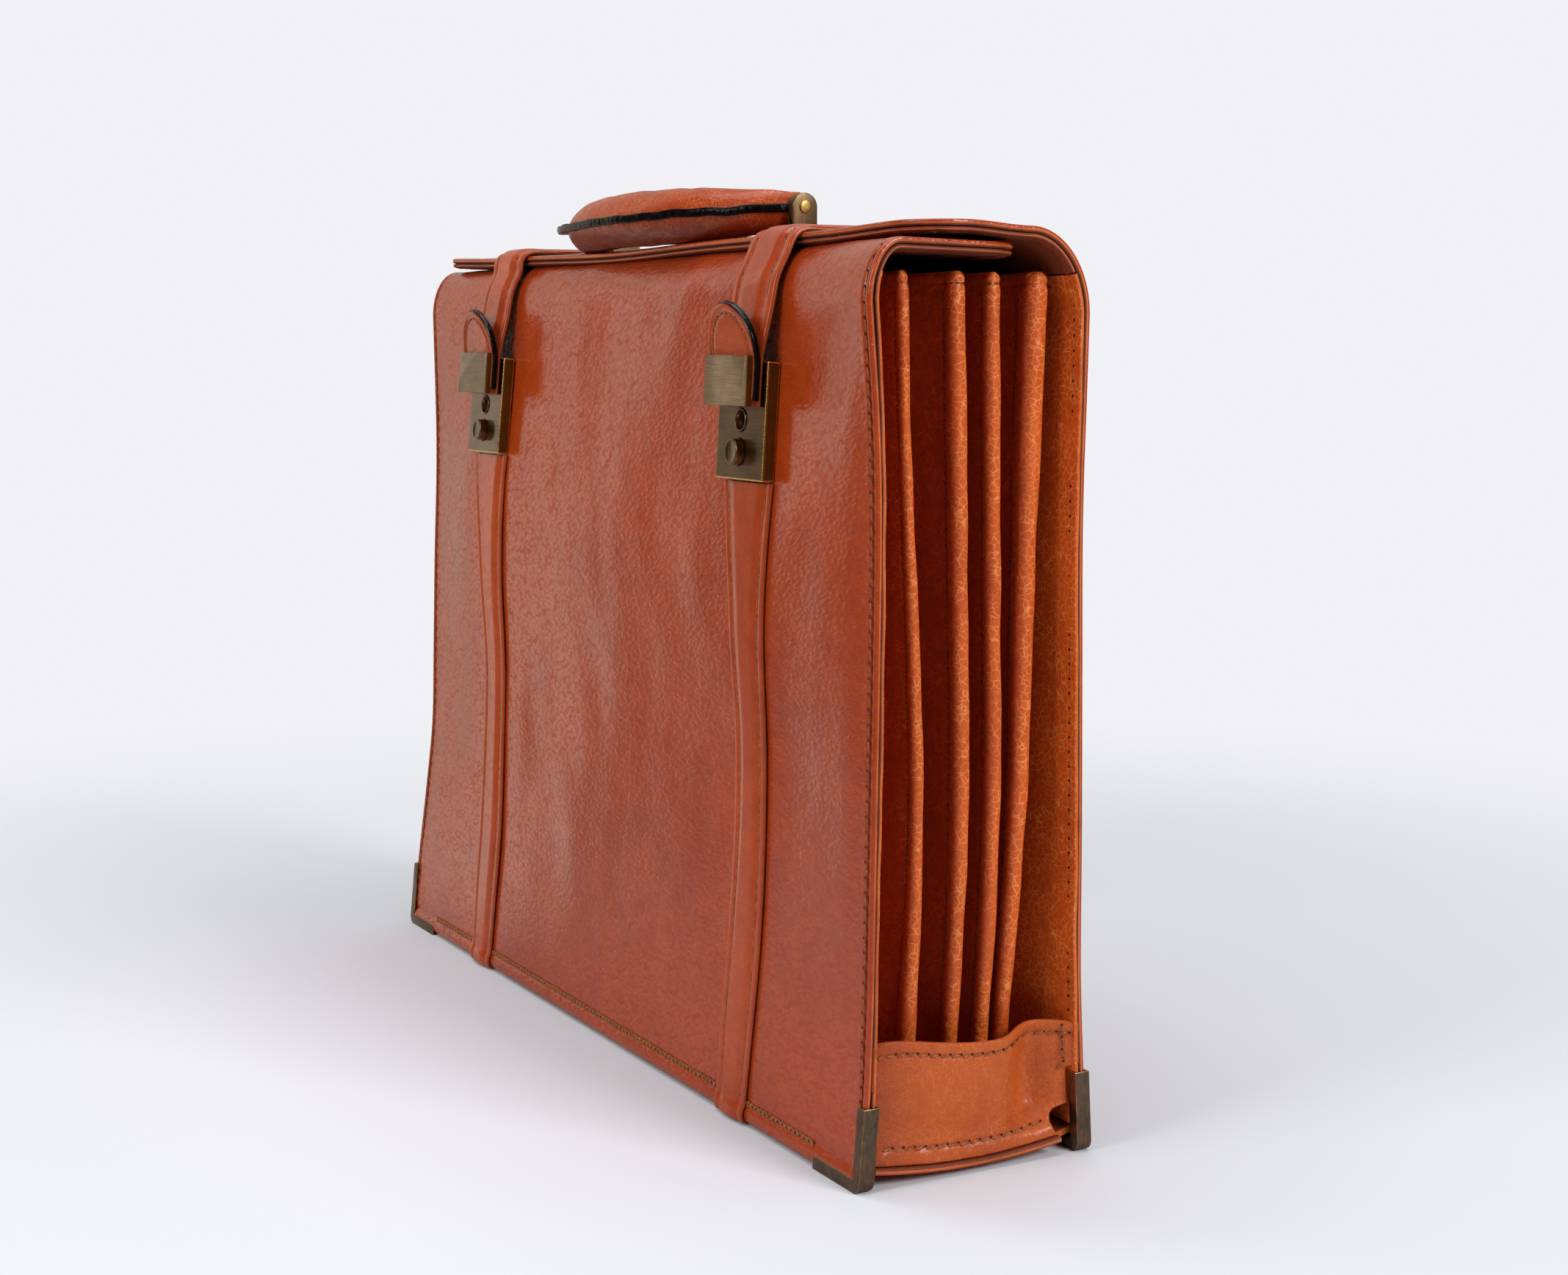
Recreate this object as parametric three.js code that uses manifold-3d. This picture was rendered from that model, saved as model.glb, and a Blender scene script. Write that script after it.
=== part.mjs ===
// A leather briefcase with pleated ends, a fold-over flap, two strap locks and a hinged handle.
// Millimetres. +X runs to the bag's right end, the front faces -Y and +Z is up.
// The origin is on the floor, at the middle of the bag's outline.
import * as THREE from 'three';
import { mergeVertices } from 'three/addons/utils/BufferGeometryUtils.js';
import Module from 'manifold-3d';

const wasm = await Module();
wasm.setup();

// Overall sizes
const HALF_LENGTH = 210;
const HALF_DEPTH = 46;
const GAP = 0.3;

// Leather and sheet metal thicknesses
const HIDE = 1.9;
const LINING = 1.4;
const PLEAT = 1.4;
const STRAP = 2.0;
const GUARD_METAL = 0.8;

// Panels: foot height, half length, and the top bends of front and back
const FOOT = GUARD_METAL + GAP;
const PANEL_HALF = HALF_LENGTH - GUARD_METAL - GAP;
const FOOT_ROUND = 2.5;
const FRONT_BEND = { z: 285, deep: 12, high: 20 };
const BACK_BEND = { z: 281, deep: 23, high: 28.4 };
const BEND_STEPS = 6;
const FOLD_EDGE = 18;
const FOLD_DROP = 1.2;
const FOLD_CORNER = 16;
const FLAP_EDGE = -25;
const FLAP_CORNER = 18;
const FLAP_LIFT = 1.5;

// Straps and locks stand at these places along the bag
const LOCK_X = 119.5;
const LOCK_ZONE = 18;

// How far the front lies in from HALF_DEPTH, by height, at four places along the bag
const FRONT_LEAN = [
  { z: 0, far: 1.1, left: 1.1, right: 1.1, near: 1.1 },
  { z: 30, far: 4.0, left: 3.7, right: 3.7, near: 3.3 },
  { z: 60, far: 7.5, left: 6.6, right: 6.8, near: 4.0 },
  { z: 95, far: 11.6, left: 8.7, right: 9.2, near: 4.6 },
  { z: 130, far: 12.9, left: 10.0, right: 10.0, near: 5.2 },
  { z: 175, far: 14.3, left: 8.4, right: 8.1, near: 5.9 },
  { z: 215, far: 15.9, left: 9.0, right: 8.8, near: 6.2 },
  { z: 250, far: 16.3, left: 12.2, right: 10.9, near: 5.4 },
  { z: 285, far: 16.4, left: 15.5, right: 13.5, near: 3.2 },
];

// How far the back lies in from HALF_DEPTH, by height
const BACK_LEAN = [
  { z: 0, in: 1.1 },
  { z: 30, in: 2.8 },
  { z: 60, in: 3.8 },
  { z: 110, in: 4.3 },
  { z: 170, in: 5.2 },
  { z: 213, in: 5.8 },
  { z: 245, in: 5.4 },
  { z: 281, in: 5.1 },
];

// Places along the bag where the panels have a column of corners
const COLUMNS = [PANEL_HALF, 190, 171, 152, LOCK_X + LOCK_ZONE, LOCK_X - LOCK_ZONE, 68, 34];

// Pleats at the right end: each rib's middle and half width, by height, and where its ridge lies.
// At the left end the ribs are squeezed between the panels in the same proportion.
const RIBS = [
  { z: 9, ridge: 190, y: [-15.8, 0.9, 12.4, 21.2], half: [3.1, 3.0, 2.7, 2.7] },
  { z: 30, ridge: 191.5, y: [-16.2, 0.6, 12.6, 20.9], half: [3.1, 3.0, 2.8, 2.8] },
  { z: 60, ridge: 195, y: [-16.8, 0.2, 12.5, 20.8], half: [3.0, 3.0, 2.9, 2.9] },
  { z: 95, ridge: 198.3, y: [-17.4, -0.3, 12.2, 21.6], half: [2.5, 3.0, 2.9, 3.1] },
  { z: 130, ridge: 200, y: [-18.0, -0.8, 11.9, 22.4], half: [2.4, 3.1, 2.9, 3.3] },
  { z: 175, ridge: 200, y: [-19.8, -1.5, 11.3, 23.5], half: [2.2, 3.1, 2.9, 3.6] },
  { z: 215, ridge: 200, y: [-22.0, -2.4, 10.7, 24.6], half: [2.0, 3.2, 2.9, 3.9] },
  { z: 250, ridge: 200, y: [-23.7, -3.1, 10.1, 25.7], half: [2.0, 3.3, 2.9, 4.2] },
  { z: 285, ridge: 200, y: [-24.7, -3.9, 9.6, 26.8], half: [2.1, 3.3, 2.9, 4.3] },
  { z: 294.5, ridge: 200, y: [-25.0, -4.0, 9.5, 27.0], half: [1.9, 2.7, 2.3, 3.4] },
];
// A rib's head, in half widths: where its sides end behind the ridge, and its shoulders.
const RIB_HEAD = { neck: 2, shoulder: 0.4, spread: 0.8 };
const VALLEY_X = 172;
const VALLEY_TURN = 1.2;
const FLANGE_X = 190;
const FLANGE_TOP_GAP = 0.8;

// Floor of the bag: a sagging sheet
const BASE = { thick: 2.2, low: 4.4, sag: 3.6, half: 41, column: 70, notchTurn: 1.5 };
const GUARD_INSET = 5.2;

// Boots: top edge height across each end
const BOOT_TOP = [
  { y: -46, z: 48.5 },
  { y: -26, z: 47.5 },
  { y: -12, z: 45 },
  { y: 4, z: 43 },
  { y: 13, z: 43 },
  { y: 22, z: 44.8 },
  { y: 30, z: 45.6 },
  { y: 38, z: 45.5 },
  { y: 46, z: 44.5 },
];
// Boots: outer face and lip, and the dent near the back. The dent's low and span, and the lip's flare,
// are shares of the boot's height.
const BOOT = { face: 207, lip: 209.2, dent: 8.5, dentY: 27, dentWide: 7, dentLow: 0.15, dentSpan: 0.75 };
const LIP_FLARE = { from: 0.06, to: 0.35 };

// Lower straps: width by height
const FRONT_STRAP_WIDTH = [
  { z: 1.1, w: 21 },
  { z: 30, w: 23 },
  { z: 150, w: 23 },
  { z: 185, w: 26 },
  { z: 205, w: 30 },
  { z: 224.9, w: 35 },
];
const TOP_STRAP_WIDTH = 30;

// Locks, measured up the lock's own slope from its foot and out from its back
const LOCK = { z: 225.4, wide: 34.8, high: 40.7, thick: 5, round: 1.2 };
const PLUG = { up: 20.6, radius: 4.25, proud: 0.3, back: 1.1 };
const KEYWAY = { wide: 0.9, high: 4.2, deep: 1.6 };
const BUTTON = { up: 9.6, radius: 4.5, proud: 3.5, back: 3.4, crown: 0.8 };
const BORE_BACK = 0.8;
const HASP = { wide: 32, low: 26, high: 15.5, thick: 2.0, bevel: 0.5 };
const TAB = { wide: 31, low: 27, top: 61, thick: 1.9 };
const STRAP_LOW = 26;

// Upper straps: how they leave the tab, bend over the flap's edge and land on the flap
const STRAP_OVER = { leave: 3, land: 9, lean: 1.5, slack: 3.5, reach: 15, flat: 4 };

// Corner guards
const GUARD = { upright: 28.3, along: 30.4, leg: 4.5, round: 4 };

// Handle: an arch that lies forward, hinged on two pins
const PIN = { y: 2, z: 321, radius: 2, hole: 2.3, headRadius: 2.6, inner: 76.5, rim: 0.6, dome: 0.6, head: 1.4 };
const GRIP = { reachX: 79, reachY: 27.5, overrun: 7, taper: 1.2, endWide: 4.5, endHigh: 4.9, wide: 15, sink: 2 };
const PADS = { above: 11.3, below: 9 };
const POST = { x: 84, thick: 4.5, wide: 10 };
const PLATE = { long: 25, wide: 12, thick: 2.5 };

// Facets of round pieces, and how far a cutter reaches out of what it cuts
const BAR_SIDES = 14;
const DISC_SIDES = 16;
const PIN_SIDES = 12;
const ARC_STEPS = 8;
const GUARD_ARC_STEPS = 4;
const CUT_PAST = 1;

// Colours
const TAN = { color: 0xa9501f, roughness: 0.38, metalness: 0 };
const PLEAT_TAN = { color: 0xb9602a, roughness: 0.5, metalness: 0 };
const LINING_TAN = { color: 0xb4602f, roughness: 0.6, metalness: 0 };
const STRAP_TAN = { color: 0xa04a1d, roughness: 0.36, metalness: 0 };
const ANTIQUE_BRASS = { color: 0x77603c, roughness: 0.35, metalness: 1 };
const BRUSHED_BRASS = { color: 0x8f7d5c, roughness: 0.4, metalness: 1 };
const BRIGHT_BRASS = { color: 0xcda55c, roughness: 0.25, metalness: 1 };
const BRONZE = { color: 0x5b4b38, roughness: 0.42, metalness: 1 };

// Helpers for numbers and tables
const mix = (a, b, t) => a + (b - a) * t;
const ease = (t) => t * t * (3 - 2 * t);
const share = (value, from, to) => Math.min(1, Math.max(0, (value - from) / (to - from)));
const turn = (degrees) => THREE.MathUtils.degToRad(degrees);

function readTable(table, key, name, at) {
  for (let n = 1; n < table.length; n += 1) {
    if (at <= table[n][key] || n === table.length - 1) {
      const t = share(at, table[n - 1][key], table[n][key]);
      return mix(table[n - 1][name], table[n][name], t);
    }
  }
  return table[0][name];
}

// Helpers for solids
function closed(geometry) {
  geometry.deleteAttribute('normal');
  geometry.deleteAttribute('uv');
  const solid = mergeVertices(geometry, 1e-4);
  const position = solid.attributes.position;
  const index = solid.index.array;
  const corners = [0, 1, 2].map(() => new THREE.Vector3());
  let volume = 0;
  for (let n = 0; n < index.length; n += 3) {
    corners.forEach((corner, side) => corner.fromBufferAttribute(position, index[n + side]));
    volume += corners[0].dot(corners[1].cross(corners[2]));
  }
  if (volume < 0) {
    for (let n = 0; n < index.length; n += 3) {
      [index[n + 1], index[n + 2]] = [index[n + 2], index[n + 1]];
    }
  }
  solid.computeVertexNormals();
  return solid;
}

function wall(across, along, place) {
  const geometry = new THREE.BoxGeometry(1, 1, 1, across, along, 1);
  const position = geometry.attributes.position;
  for (let n = 0; n < position.count; n += 1) {
    const column = Math.round((position.getX(n) + 0.5) * across);
    const row = Math.round((position.getY(n) + 0.5) * along);
    const point = place(column, row, position.getZ(n) > 0 ? 1 : 0);
    position.setXYZ(n, point.x, point.y, point.z);
  }
  return closed(geometry);
}

function toManifold(geometry) {
  const solid = closed(geometry.clone());
  const vertProperties = new Float32Array(solid.attributes.position.array);
  const triVerts = new Uint32Array(solid.index.array);
  return new wasm.Manifold(new wasm.Mesh({ numProp: 3, vertProperties, triVerts }));
}

function fromManifold(manifold) {
  const result = manifold.getMesh();
  const geometry = new THREE.BufferGeometry();
  geometry.setAttribute('position', new THREE.BufferAttribute(new Float32Array(result.vertProperties), 3));
  geometry.setIndex(Array.from(result.triVerts));
  geometry.computeVertexNormals();
  return geometry;
}

function cut(geometry, ...tools) {
  const solid = tools.reduce((left, tool) => left.subtract(toManifold(tool)), toManifold(geometry));
  return fromManifold(solid);
}

function join(first, second) {
  return fromManifold(toManifold(first).add(toManifold(second)));
}

function cylinderAlongX(radius, from, to, y, z) {
  const geometry = new THREE.CylinderGeometry(radius, radius, to - from, BAR_SIDES);
  geometry.rotateZ(Math.PI / 2);
  geometry.translate((from + to) / 2, y, z);
  return geometry;
}

function mirrored(geometry) {
  return closed(geometry.clone().scale(-1, 1, 1));
}

const bag = new THREE.Group();

function addPiece(name, geometry, finish, parent = bag) {
  const mesh = new THREE.Mesh(geometry, new THREE.MeshStandardMaterial(finish));
  mesh.name = name;
  parent.add(mesh);
  return mesh;
}

// The panels' outer faces
function frontLean(x, z) {
  const at = (name) => readTable(FRONT_LEAN, 'z', name, z);
  if (x < -LOCK_X) {
    return mix(at('left'), at('far'), ease(share(-x, LOCK_X + LOCK_ZONE, PANEL_HALF)));
  }
  if (x > LOCK_X) {
    return mix(at('right'), at('near'), ease(share(x, LOCK_X + LOCK_ZONE, PANEL_HALF)));
  }
  return mix(at('left'), at('right'), ease(share(x, LOCK_ZONE - LOCK_X, LOCK_X - LOCK_ZONE)));
}

function bendIn(bend, z) {
  const rise = share(z, bend.z, bend.z + bend.high);
  return bend.deep * (1 - Math.sqrt(1 - rise * rise));
}

const frontY = (x, z) => -HALF_DEPTH + frontLean(x, z) + bendIn(FRONT_BEND, z);
const backY = (z) => HALF_DEPTH - readTable(BACK_LEAN, 'z', 'in', z) - bendIn(BACK_BEND, z);

// A panel's section: rows of depth y, height z and half length, from the foot to the free edge
const CORNER_ROWS = [1, 0.6, 0.3, 0.1, 0];
const FACE_FOOT = [
  { z: FOOT, half: PANEL_HALF - FOOT_ROUND },
  { z: FOOT + FOOT_ROUND, half: PANEL_HALF },
];

function cornerHalf(radius, fromEdge) {
  const inset = radius - fromEdge;
  return PANEL_HALF - radius + Math.sqrt(radius * radius - inset * inset);
}

function frontSection(x) {
  const rows = FACE_FOOT.map((foot) => ({ y: frontY(x, foot.z), ...foot }));
  FRONT_LEAN.slice(1).forEach(({ z }) => rows.push({ y: frontY(x, z), z, half: PANEL_HALF }));
  const start = frontY(x, FRONT_BEND.z);
  for (let step = 1; step <= BEND_STEPS; step += 1) {
    const angle = (step / BEND_STEPS) * (Math.PI / 2);
    const y = start + FRONT_BEND.deep * (1 - Math.cos(angle));
    rows.push({ y, z: FRONT_BEND.z + FRONT_BEND.high * Math.sin(angle), half: PANEL_HALF });
  }
  const last = rows[rows.length - 1];
  CORNER_ROWS.forEach((part) => {
    const fromEdge = FOLD_CORNER * part;
    const y = FOLD_EDGE - fromEdge;
    const z = last.z - FOLD_DROP * share(y, last.y, FOLD_EDGE);
    rows.push({ y, z, half: cornerHalf(FOLD_CORNER, fromEdge) });
  });
  return rows;
}

function flapLift(x) {
  return FLAP_LIFT * ease(share(Math.abs(x), LOCK_X + LOCK_ZONE, PANEL_HALF));
}

function backSection(x) {
  const rows = FACE_FOOT.map((foot) => ({ y: backY(foot.z), ...foot }));
  BACK_LEAN.slice(1).forEach(({ z }) => rows.push({ y: backY(z), z, half: PANEL_HALF }));
  const start = backY(BACK_BEND.z);
  for (let step = 1; step <= BEND_STEPS; step += 1) {
    const angle = (step / BEND_STEPS) * (Math.PI / 2);
    const y = start - BACK_BEND.deep * (1 - Math.cos(angle));
    rows.push({ y, z: BACK_BEND.z + BACK_BEND.high * Math.sin(angle), half: PANEL_HALF });
  }
  const last = rows[rows.length - 1];
  CORNER_ROWS.forEach((part) => {
    const fromEdge = FLAP_CORNER * part;
    const y = FLAP_EDGE + fromEdge;
    const z = last.z + flapLift(x) * ease(share(y, last.y, FLAP_EDGE + FLAP_CORNER));
    rows.push({ y, z, half: cornerHalf(FLAP_CORNER, fromEdge) });
  });
  return rows;
}

// Moves a section's rows to the right of their direction of travel
function offsetRows(rows, distance) {
  return rows.map((row, n) => {
    const before = rows[Math.max(0, n - 1)];
    const after = rows[Math.min(rows.length - 1, n + 1)];
    const along = new THREE.Vector2(after.y - before.y, after.z - before.z).normalize();
    return { y: row.y + along.y * distance, z: row.z - along.x * distance, half: row.half };
  });
}

const PANEL_X = [...COLUMNS.map((x) => -x), ...COLUMNS.slice().reverse()];

function panelLayer(section, from, outer, inner) {
  const columns = PANEL_X.map((x) => {
    const rows = section(x);
    return [outer, inner].map((distance) => offsetRows(rows, distance).slice(from));
  });
  return wall(columns.length - 1, columns[0][0].length - 1, (column, row, side) => {
    const { y, z, half } = columns[column][side][row];
    return { x: (PANEL_X[column] * half) / PANEL_HALF, y, z };
  });
}

// Panels and their linings
const FACE_ROWS = FACE_FOOT.length - 1;
const FOLD_LINING_ROW = FACE_ROWS + FRONT_LEAN.length - 1 + BEND_STEPS / 2;
const FLAP_LINING_ROW = FACE_ROWS + BACK_LEAN.length - 1 + BEND_STEPS / 2;
const LINING_OUT = HIDE + GAP;
const LINING_IN = LINING_OUT + LINING;

addPiece('front_panel', panelLayer(frontSection, 0, 0, HIDE), TAN);
addPiece('fold_lining', panelLayer(frontSection, FOLD_LINING_ROW, LINING_OUT, LINING_IN), LINING_TAN);
addPiece('back_panel', panelLayer(backSection, 0, 0, -HIDE), TAN);
addPiece('flap_lining', panelLayer(backSection, FLAP_LINING_ROW, -LINING_OUT, -LINING_IN), LINING_TAN);

// Floor, notched at its corners for the guards
const baseTop = (y) => BASE.low + BASE.sag * (y / BASE.half) ** 2;
const BASE_STEPS = 6;
const NOTCH_X = HALF_LENGTH - GUARD.leg - GAP;
const BASE_HALF_X = [BOOT.lip, NOTCH_X, NOTCH_X - BASE.notchTurn, 2 * BASE.column, BASE.column];
const BASE_X = [...BASE_HALF_X.map((x) => -x), 0, ...BASE_HALF_X.slice().reverse()];

function baseSides(x) {
  const z = baseTop(BASE.half);
  const inset = Math.abs(x) >= NOTCH_X ? GUARD_INSET : HIDE + GAP;
  return { front: frontY(x, z) + inset, back: backY(z) - inset };
}

function baseFloor() {
  return wall(BASE_X.length - 1, BASE_STEPS, (column, row, side) => {
    const x = BASE_X[column];
    const { front, back } = baseSides(x);
    const y = mix(front, back, row / BASE_STEPS);
    return { x, y, z: baseTop(y) - BASE.thick * side };
  });
}

addPiece('base', baseFloor(), LINING_TAN);

// Pleated ends. The centre line runs from the front flange over the ribs to the back flange.
function pleatLine(end, rib, n) {
  const panelX = end * PANEL_HALF;
  const topGap = n === RIBS.length - 1 ? FLANGE_TOP_GAP : 0;
  const inset = HIDE + GAP + PLEAT / 2 + topGap;
  const flange = (x) => ({ front: frontY(end * x, rib.z) + inset, back: backY(rib.z) - inset });
  const back = backY(rib.z);
  const squeeze = (y) => mix(frontY(panelX, rib.z), back, share(y, frontY(PANEL_HALF, rib.z), back));
  const line = [
    [panelX, flange(PANEL_HALF).front],
    [end * FLANGE_X, flange(FLANGE_X).front],
  ];
  const valley = (y) => {
    line.push([end * (VALLEY_X + VALLEY_TURN), y - VALLEY_TURN]);
    line.push([end * VALLEY_X, y]);
    line.push([end * (VALLEY_X + VALLEY_TURN), y + VALLEY_TURN]);
  };
  let previous = flange(VALLEY_X).front + VALLEY_TURN;
  rib.y.forEach((measured, k) => {
    const y = squeeze(measured);
    const half = rib.half[k] - PLEAT / 2;
    valley((previous + y - half) / 2);
    const neck = end * (rib.ridge - RIB_HEAD.neck * half);
    const shoulder = end * (rib.ridge - RIB_HEAD.shoulder * half);
    line.push([neck, y - half]);
    line.push([shoulder, y - RIB_HEAD.spread * half]);
    line.push([end * rib.ridge, y]);
    line.push([shoulder, y + RIB_HEAD.spread * half]);
    line.push([neck, y + half]);
    previous = y + half;
  });
  valley((previous + flange(VALLEY_X).back) / 2);
  line.push([end * FLANGE_X, flange(FLANGE_X).back]);
  line.push([panelX, flange(PANEL_HALF).back]);
  return line.map(([x, y]) => new THREE.Vector2(x, y));
}

// Shifts a line sideways by the same distance along every stretch, with mitred corners
const MITRE_LIMIT = 0.5;

function shiftLine(line, distance) {
  return line.map((point, n) => {
    const into = line[n].clone().sub(line[Math.max(0, n - 1)]).normalize();
    const out = line[Math.min(line.length - 1, n + 1)].clone().sub(line[n]).normalize();
    const first = n === 0 ? out : into;
    const second = n === line.length - 1 ? into : out;
    const normal = new THREE.Vector2(-(first.y + second.y), first.x + second.x).normalize();
    const spread = Math.max(MITRE_LIMIT, normal.dot(new THREE.Vector2(-first.y, first.x)));
    return point.clone().addScaledVector(normal, distance / spread);
  });
}

function gusset(end) {
  const lines = RIBS.map((rib, n) => {
    const line = pleatLine(end, rib, n);
    return [shiftLine(line, PLEAT / 2), shiftLine(line, -PLEAT / 2)];
  });
  return wall(lines[0][0].length - 1, RIBS.length - 1, (column, row, side) => {
    const point = lines[row][side][column];
    return { x: point.x, y: point.y, z: RIBS[row].z };
  });
}

addPiece('gusset_left', gusset(-1), PLEAT_TAN);
addPiece('gusset_right', gusset(1), PLEAT_TAN);

// Boots, whose feet flare into the lip that rests on the floor's ends
const BOOT_ROWS = [0, LIP_FLARE.from, 0.15, LIP_FLARE.to, 0.65, 1];
const BOOT_STEPS = 16;

function bootFace(y, rise) {
  const dent = BOOT.dent * Math.exp(-(((y - BOOT.dentY) / BOOT.dentWide) ** 2));
  const face = BOOT.face - dent * Math.sin(Math.PI * Math.min(1, BOOT.dentLow + BOOT.dentSpan * rise));
  return mix(BOOT.lip, face, ease(share(rise, LIP_FLARE.from, LIP_FLARE.to)));
}

function boot(end) {
  return wall(BOOT_STEPS, BOOT_ROWS.length - 1, (column, row, side) => {
    const rise = BOOT_ROWS[row];
    const guess = mix(baseTop(BASE.half), BOOT_TOP[0].z, rise);
    const front = frontY(end * BOOT.face, guess) + GUARD_INSET;
    const back = backY(guess) - GUARD_INSET;
    const y = mix(front, back, column / BOOT_STEPS);
    const z = mix(baseTop(y) + GAP, readTable(BOOT_TOP, 'y', 'z', y), rise);
    return { x: end * (bootFace(y, rise) - HIDE * side), y, z };
  });
}

addPiece('boot_left', boot(-1), TAN);
addPiece('boot_right', boot(1), TAN);

// Lower straps, sewn to the front
const STRAP_STEPS = 2;

function frontStrap(x) {
  const top = FRONT_STRAP_WIDTH[FRONT_STRAP_WIDTH.length - 1].z;
  const heights = [...FRONT_LEAN.map(({ z }) => z), ...FRONT_STRAP_WIDTH.map(({ z }) => z)];
  const rows = [...new Set(heights)].filter((z) => z >= FOOT && z <= top).sort((a, b) => a - b);
  return wall(STRAP_STEPS, rows.length - 1, (column, row, side) => {
    const z = rows[row];
    const width = readTable(FRONT_STRAP_WIDTH, 'z', 'w', z);
    const y = frontY(x, z) - GAP - STRAP * side;
    return { x: x + width * (column / STRAP_STEPS - 0.5), y, z };
  });
}

// A lock's own slope: a point up from its foot and out from its back
function lockSlope(x) {
  const foot = new THREE.Vector2(frontY(x, LOCK.z) - GAP, LOCK.z);
  const rise = frontY(x, LOCK.z + LOCK.high) - frontY(x, LOCK.z);
  const angle = Math.atan2(rise, LOCK.high);
  const point = (up, out) => new THREE.Vector2(
    foot.x + up * Math.sin(angle) - out * Math.cos(angle),
    foot.y + up * Math.cos(angle) + out * Math.sin(angle),
  );
  return { foot, angle, point };
}

// Upper straps: from the hasp over the flap's edge, across the top and down the back
const STRAP_FALL = 8;

function topStrapLine(x) {
  const slope = lockSlope(x);
  const under = LOCK.thick + GAP;
  const line = [STRAP_LOW, LOCK.high, TAB.top - STRAP_OVER.leave].map((up) => slope.point(up, under));
  const flapTop = BACK_BEND.z + BACK_BEND.high + GAP;
  const start = line[line.length - 1];
  const land = new THREE.Vector2(FLAP_EDGE + STRAP_OVER.land, flapTop);
  const over = new THREE.CubicBezierCurve(
    start,
    new THREE.Vector2(start.x + STRAP_OVER.lean, flapTop - STRAP_OVER.slack),
    new THREE.Vector2(land.x - STRAP_OVER.reach, flapTop + STRAP_OVER.slack),
    land,
  );
  line.push(...over.getPoints(STRAP_FALL).slice(1));
  const flatRows = backSection(x).reverse().filter(({ y, z }) => y > land.x + STRAP_OVER.flat && z > FOOT);
  const lifted = offsetRows(flatRows, -GAP).map(({ y, z }) => new THREE.Vector2(y, z));
  return [...line, ...lifted];
}

function topStrap(x) {
  const line = topStrapLine(x);
  const layers = [line, shiftLine(line, STRAP)];
  return wall(1, line.length - 1, (column, row, side) => {
    const point = layers[side][row];
    return { x: x + TOP_STRAP_WIDTH * (column - 0.5), y: point.x, z: point.y };
  });
}

// Lock pieces are drawn flat, x across, y up, z out of the bag, and then leaned against the front
function rectangle(wide, low, high, round) {
  const shape = new THREE.Shape();
  const half = wide / 2;
  shape.moveTo(-half + round, low);
  shape.lineTo(half - round, low);
  shape.lineTo(half, low + round);
  shape.lineTo(half, low + high - round);
  shape.lineTo(half - round, low + high);
  shape.lineTo(round - half, low + high);
  shape.lineTo(-half, low + high - round);
  shape.lineTo(-half, low + round);
  shape.closePath();
  return shape;
}

function disc(radius, from, to, up) {
  const geometry = new THREE.CylinderGeometry(radius, radius, to - from, DISC_SIDES);
  geometry.rotateX(Math.PI / 2);
  geometry.translate(0, up, (from + to) / 2);
  return geometry;
}

function plate(shape, thick, back, bevel = 0) {
  const geometry = new THREE.ExtrudeGeometry(shape, {
    depth: thick - 2 * bevel,
    bevelEnabled: bevel > 0,
    bevelSize: bevel,
    bevelOffset: -bevel,
    bevelThickness: bevel,
    bevelSegments: 1,
    curveSegments: ARC_STEPS,
  });
  geometry.translate(0, 0, back + bevel);
  return closed(geometry);
}

function lockCase() {
  const block = plate(rectangle(LOCK.wide, 0, LOCK.high, LOCK.round), LOCK.thick, 0, LOCK.round / 2);
  const plugBore = disc(PLUG.radius, BORE_BACK, LOCK.thick + CUT_PAST, PLUG.up);
  const buttonBore = disc(BUTTON.radius + GAP, BORE_BACK, LOCK.thick + CUT_PAST, BUTTON.up);
  return cut(block, plugBore, buttonBore);
}

function lockPlug() {
  const face = LOCK.thick + PLUG.proud;
  const barrel = disc(PLUG.radius - GAP, PLUG.back, face, PLUG.up);
  const slot = new THREE.BoxGeometry(KEYWAY.wide, KEYWAY.high, 2 * KEYWAY.deep);
  slot.translate(0, PLUG.up, face);
  return cut(barrel, slot);
}

function lockButton() {
  const rim = BUTTON.radius - BUTTON.crown;
  const length = LOCK.thick + BUTTON.proud - BUTTON.back;
  const profile = [[0, 0], [BUTTON.radius, 0], [BUTTON.radius, length - BUTTON.crown], [rim, length], [0, length]];
  const geometry = new THREE.LatheGeometry(profile.map(([r, y]) => new THREE.Vector2(r, y)), DISC_SIDES);
  geometry.rotateX(Math.PI / 2);
  geometry.translate(0, BUTTON.up, BUTTON.back);
  return closed(geometry);
}

function haspPlate() {
  const back = LOCK.thick + STRAP + TAB.thick + 3 * GAP;
  return plate(rectangle(HASP.wide, HASP.low, HASP.high, HASP.bevel), HASP.thick, back, HASP.bevel);
}

function pullTab() {
  const half = TAB.wide / 2;
  const shape = new THREE.Shape();
  shape.moveTo(-half, TAB.low);
  shape.lineTo(half, TAB.low);
  shape.lineTo(half, TAB.top - half);
  shape.absarc(0, TAB.top - half, half, 0, Math.PI, false);
  shape.closePath();
  return plate(shape, TAB.thick, LOCK.thick + STRAP + 2 * GAP);
}

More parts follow.
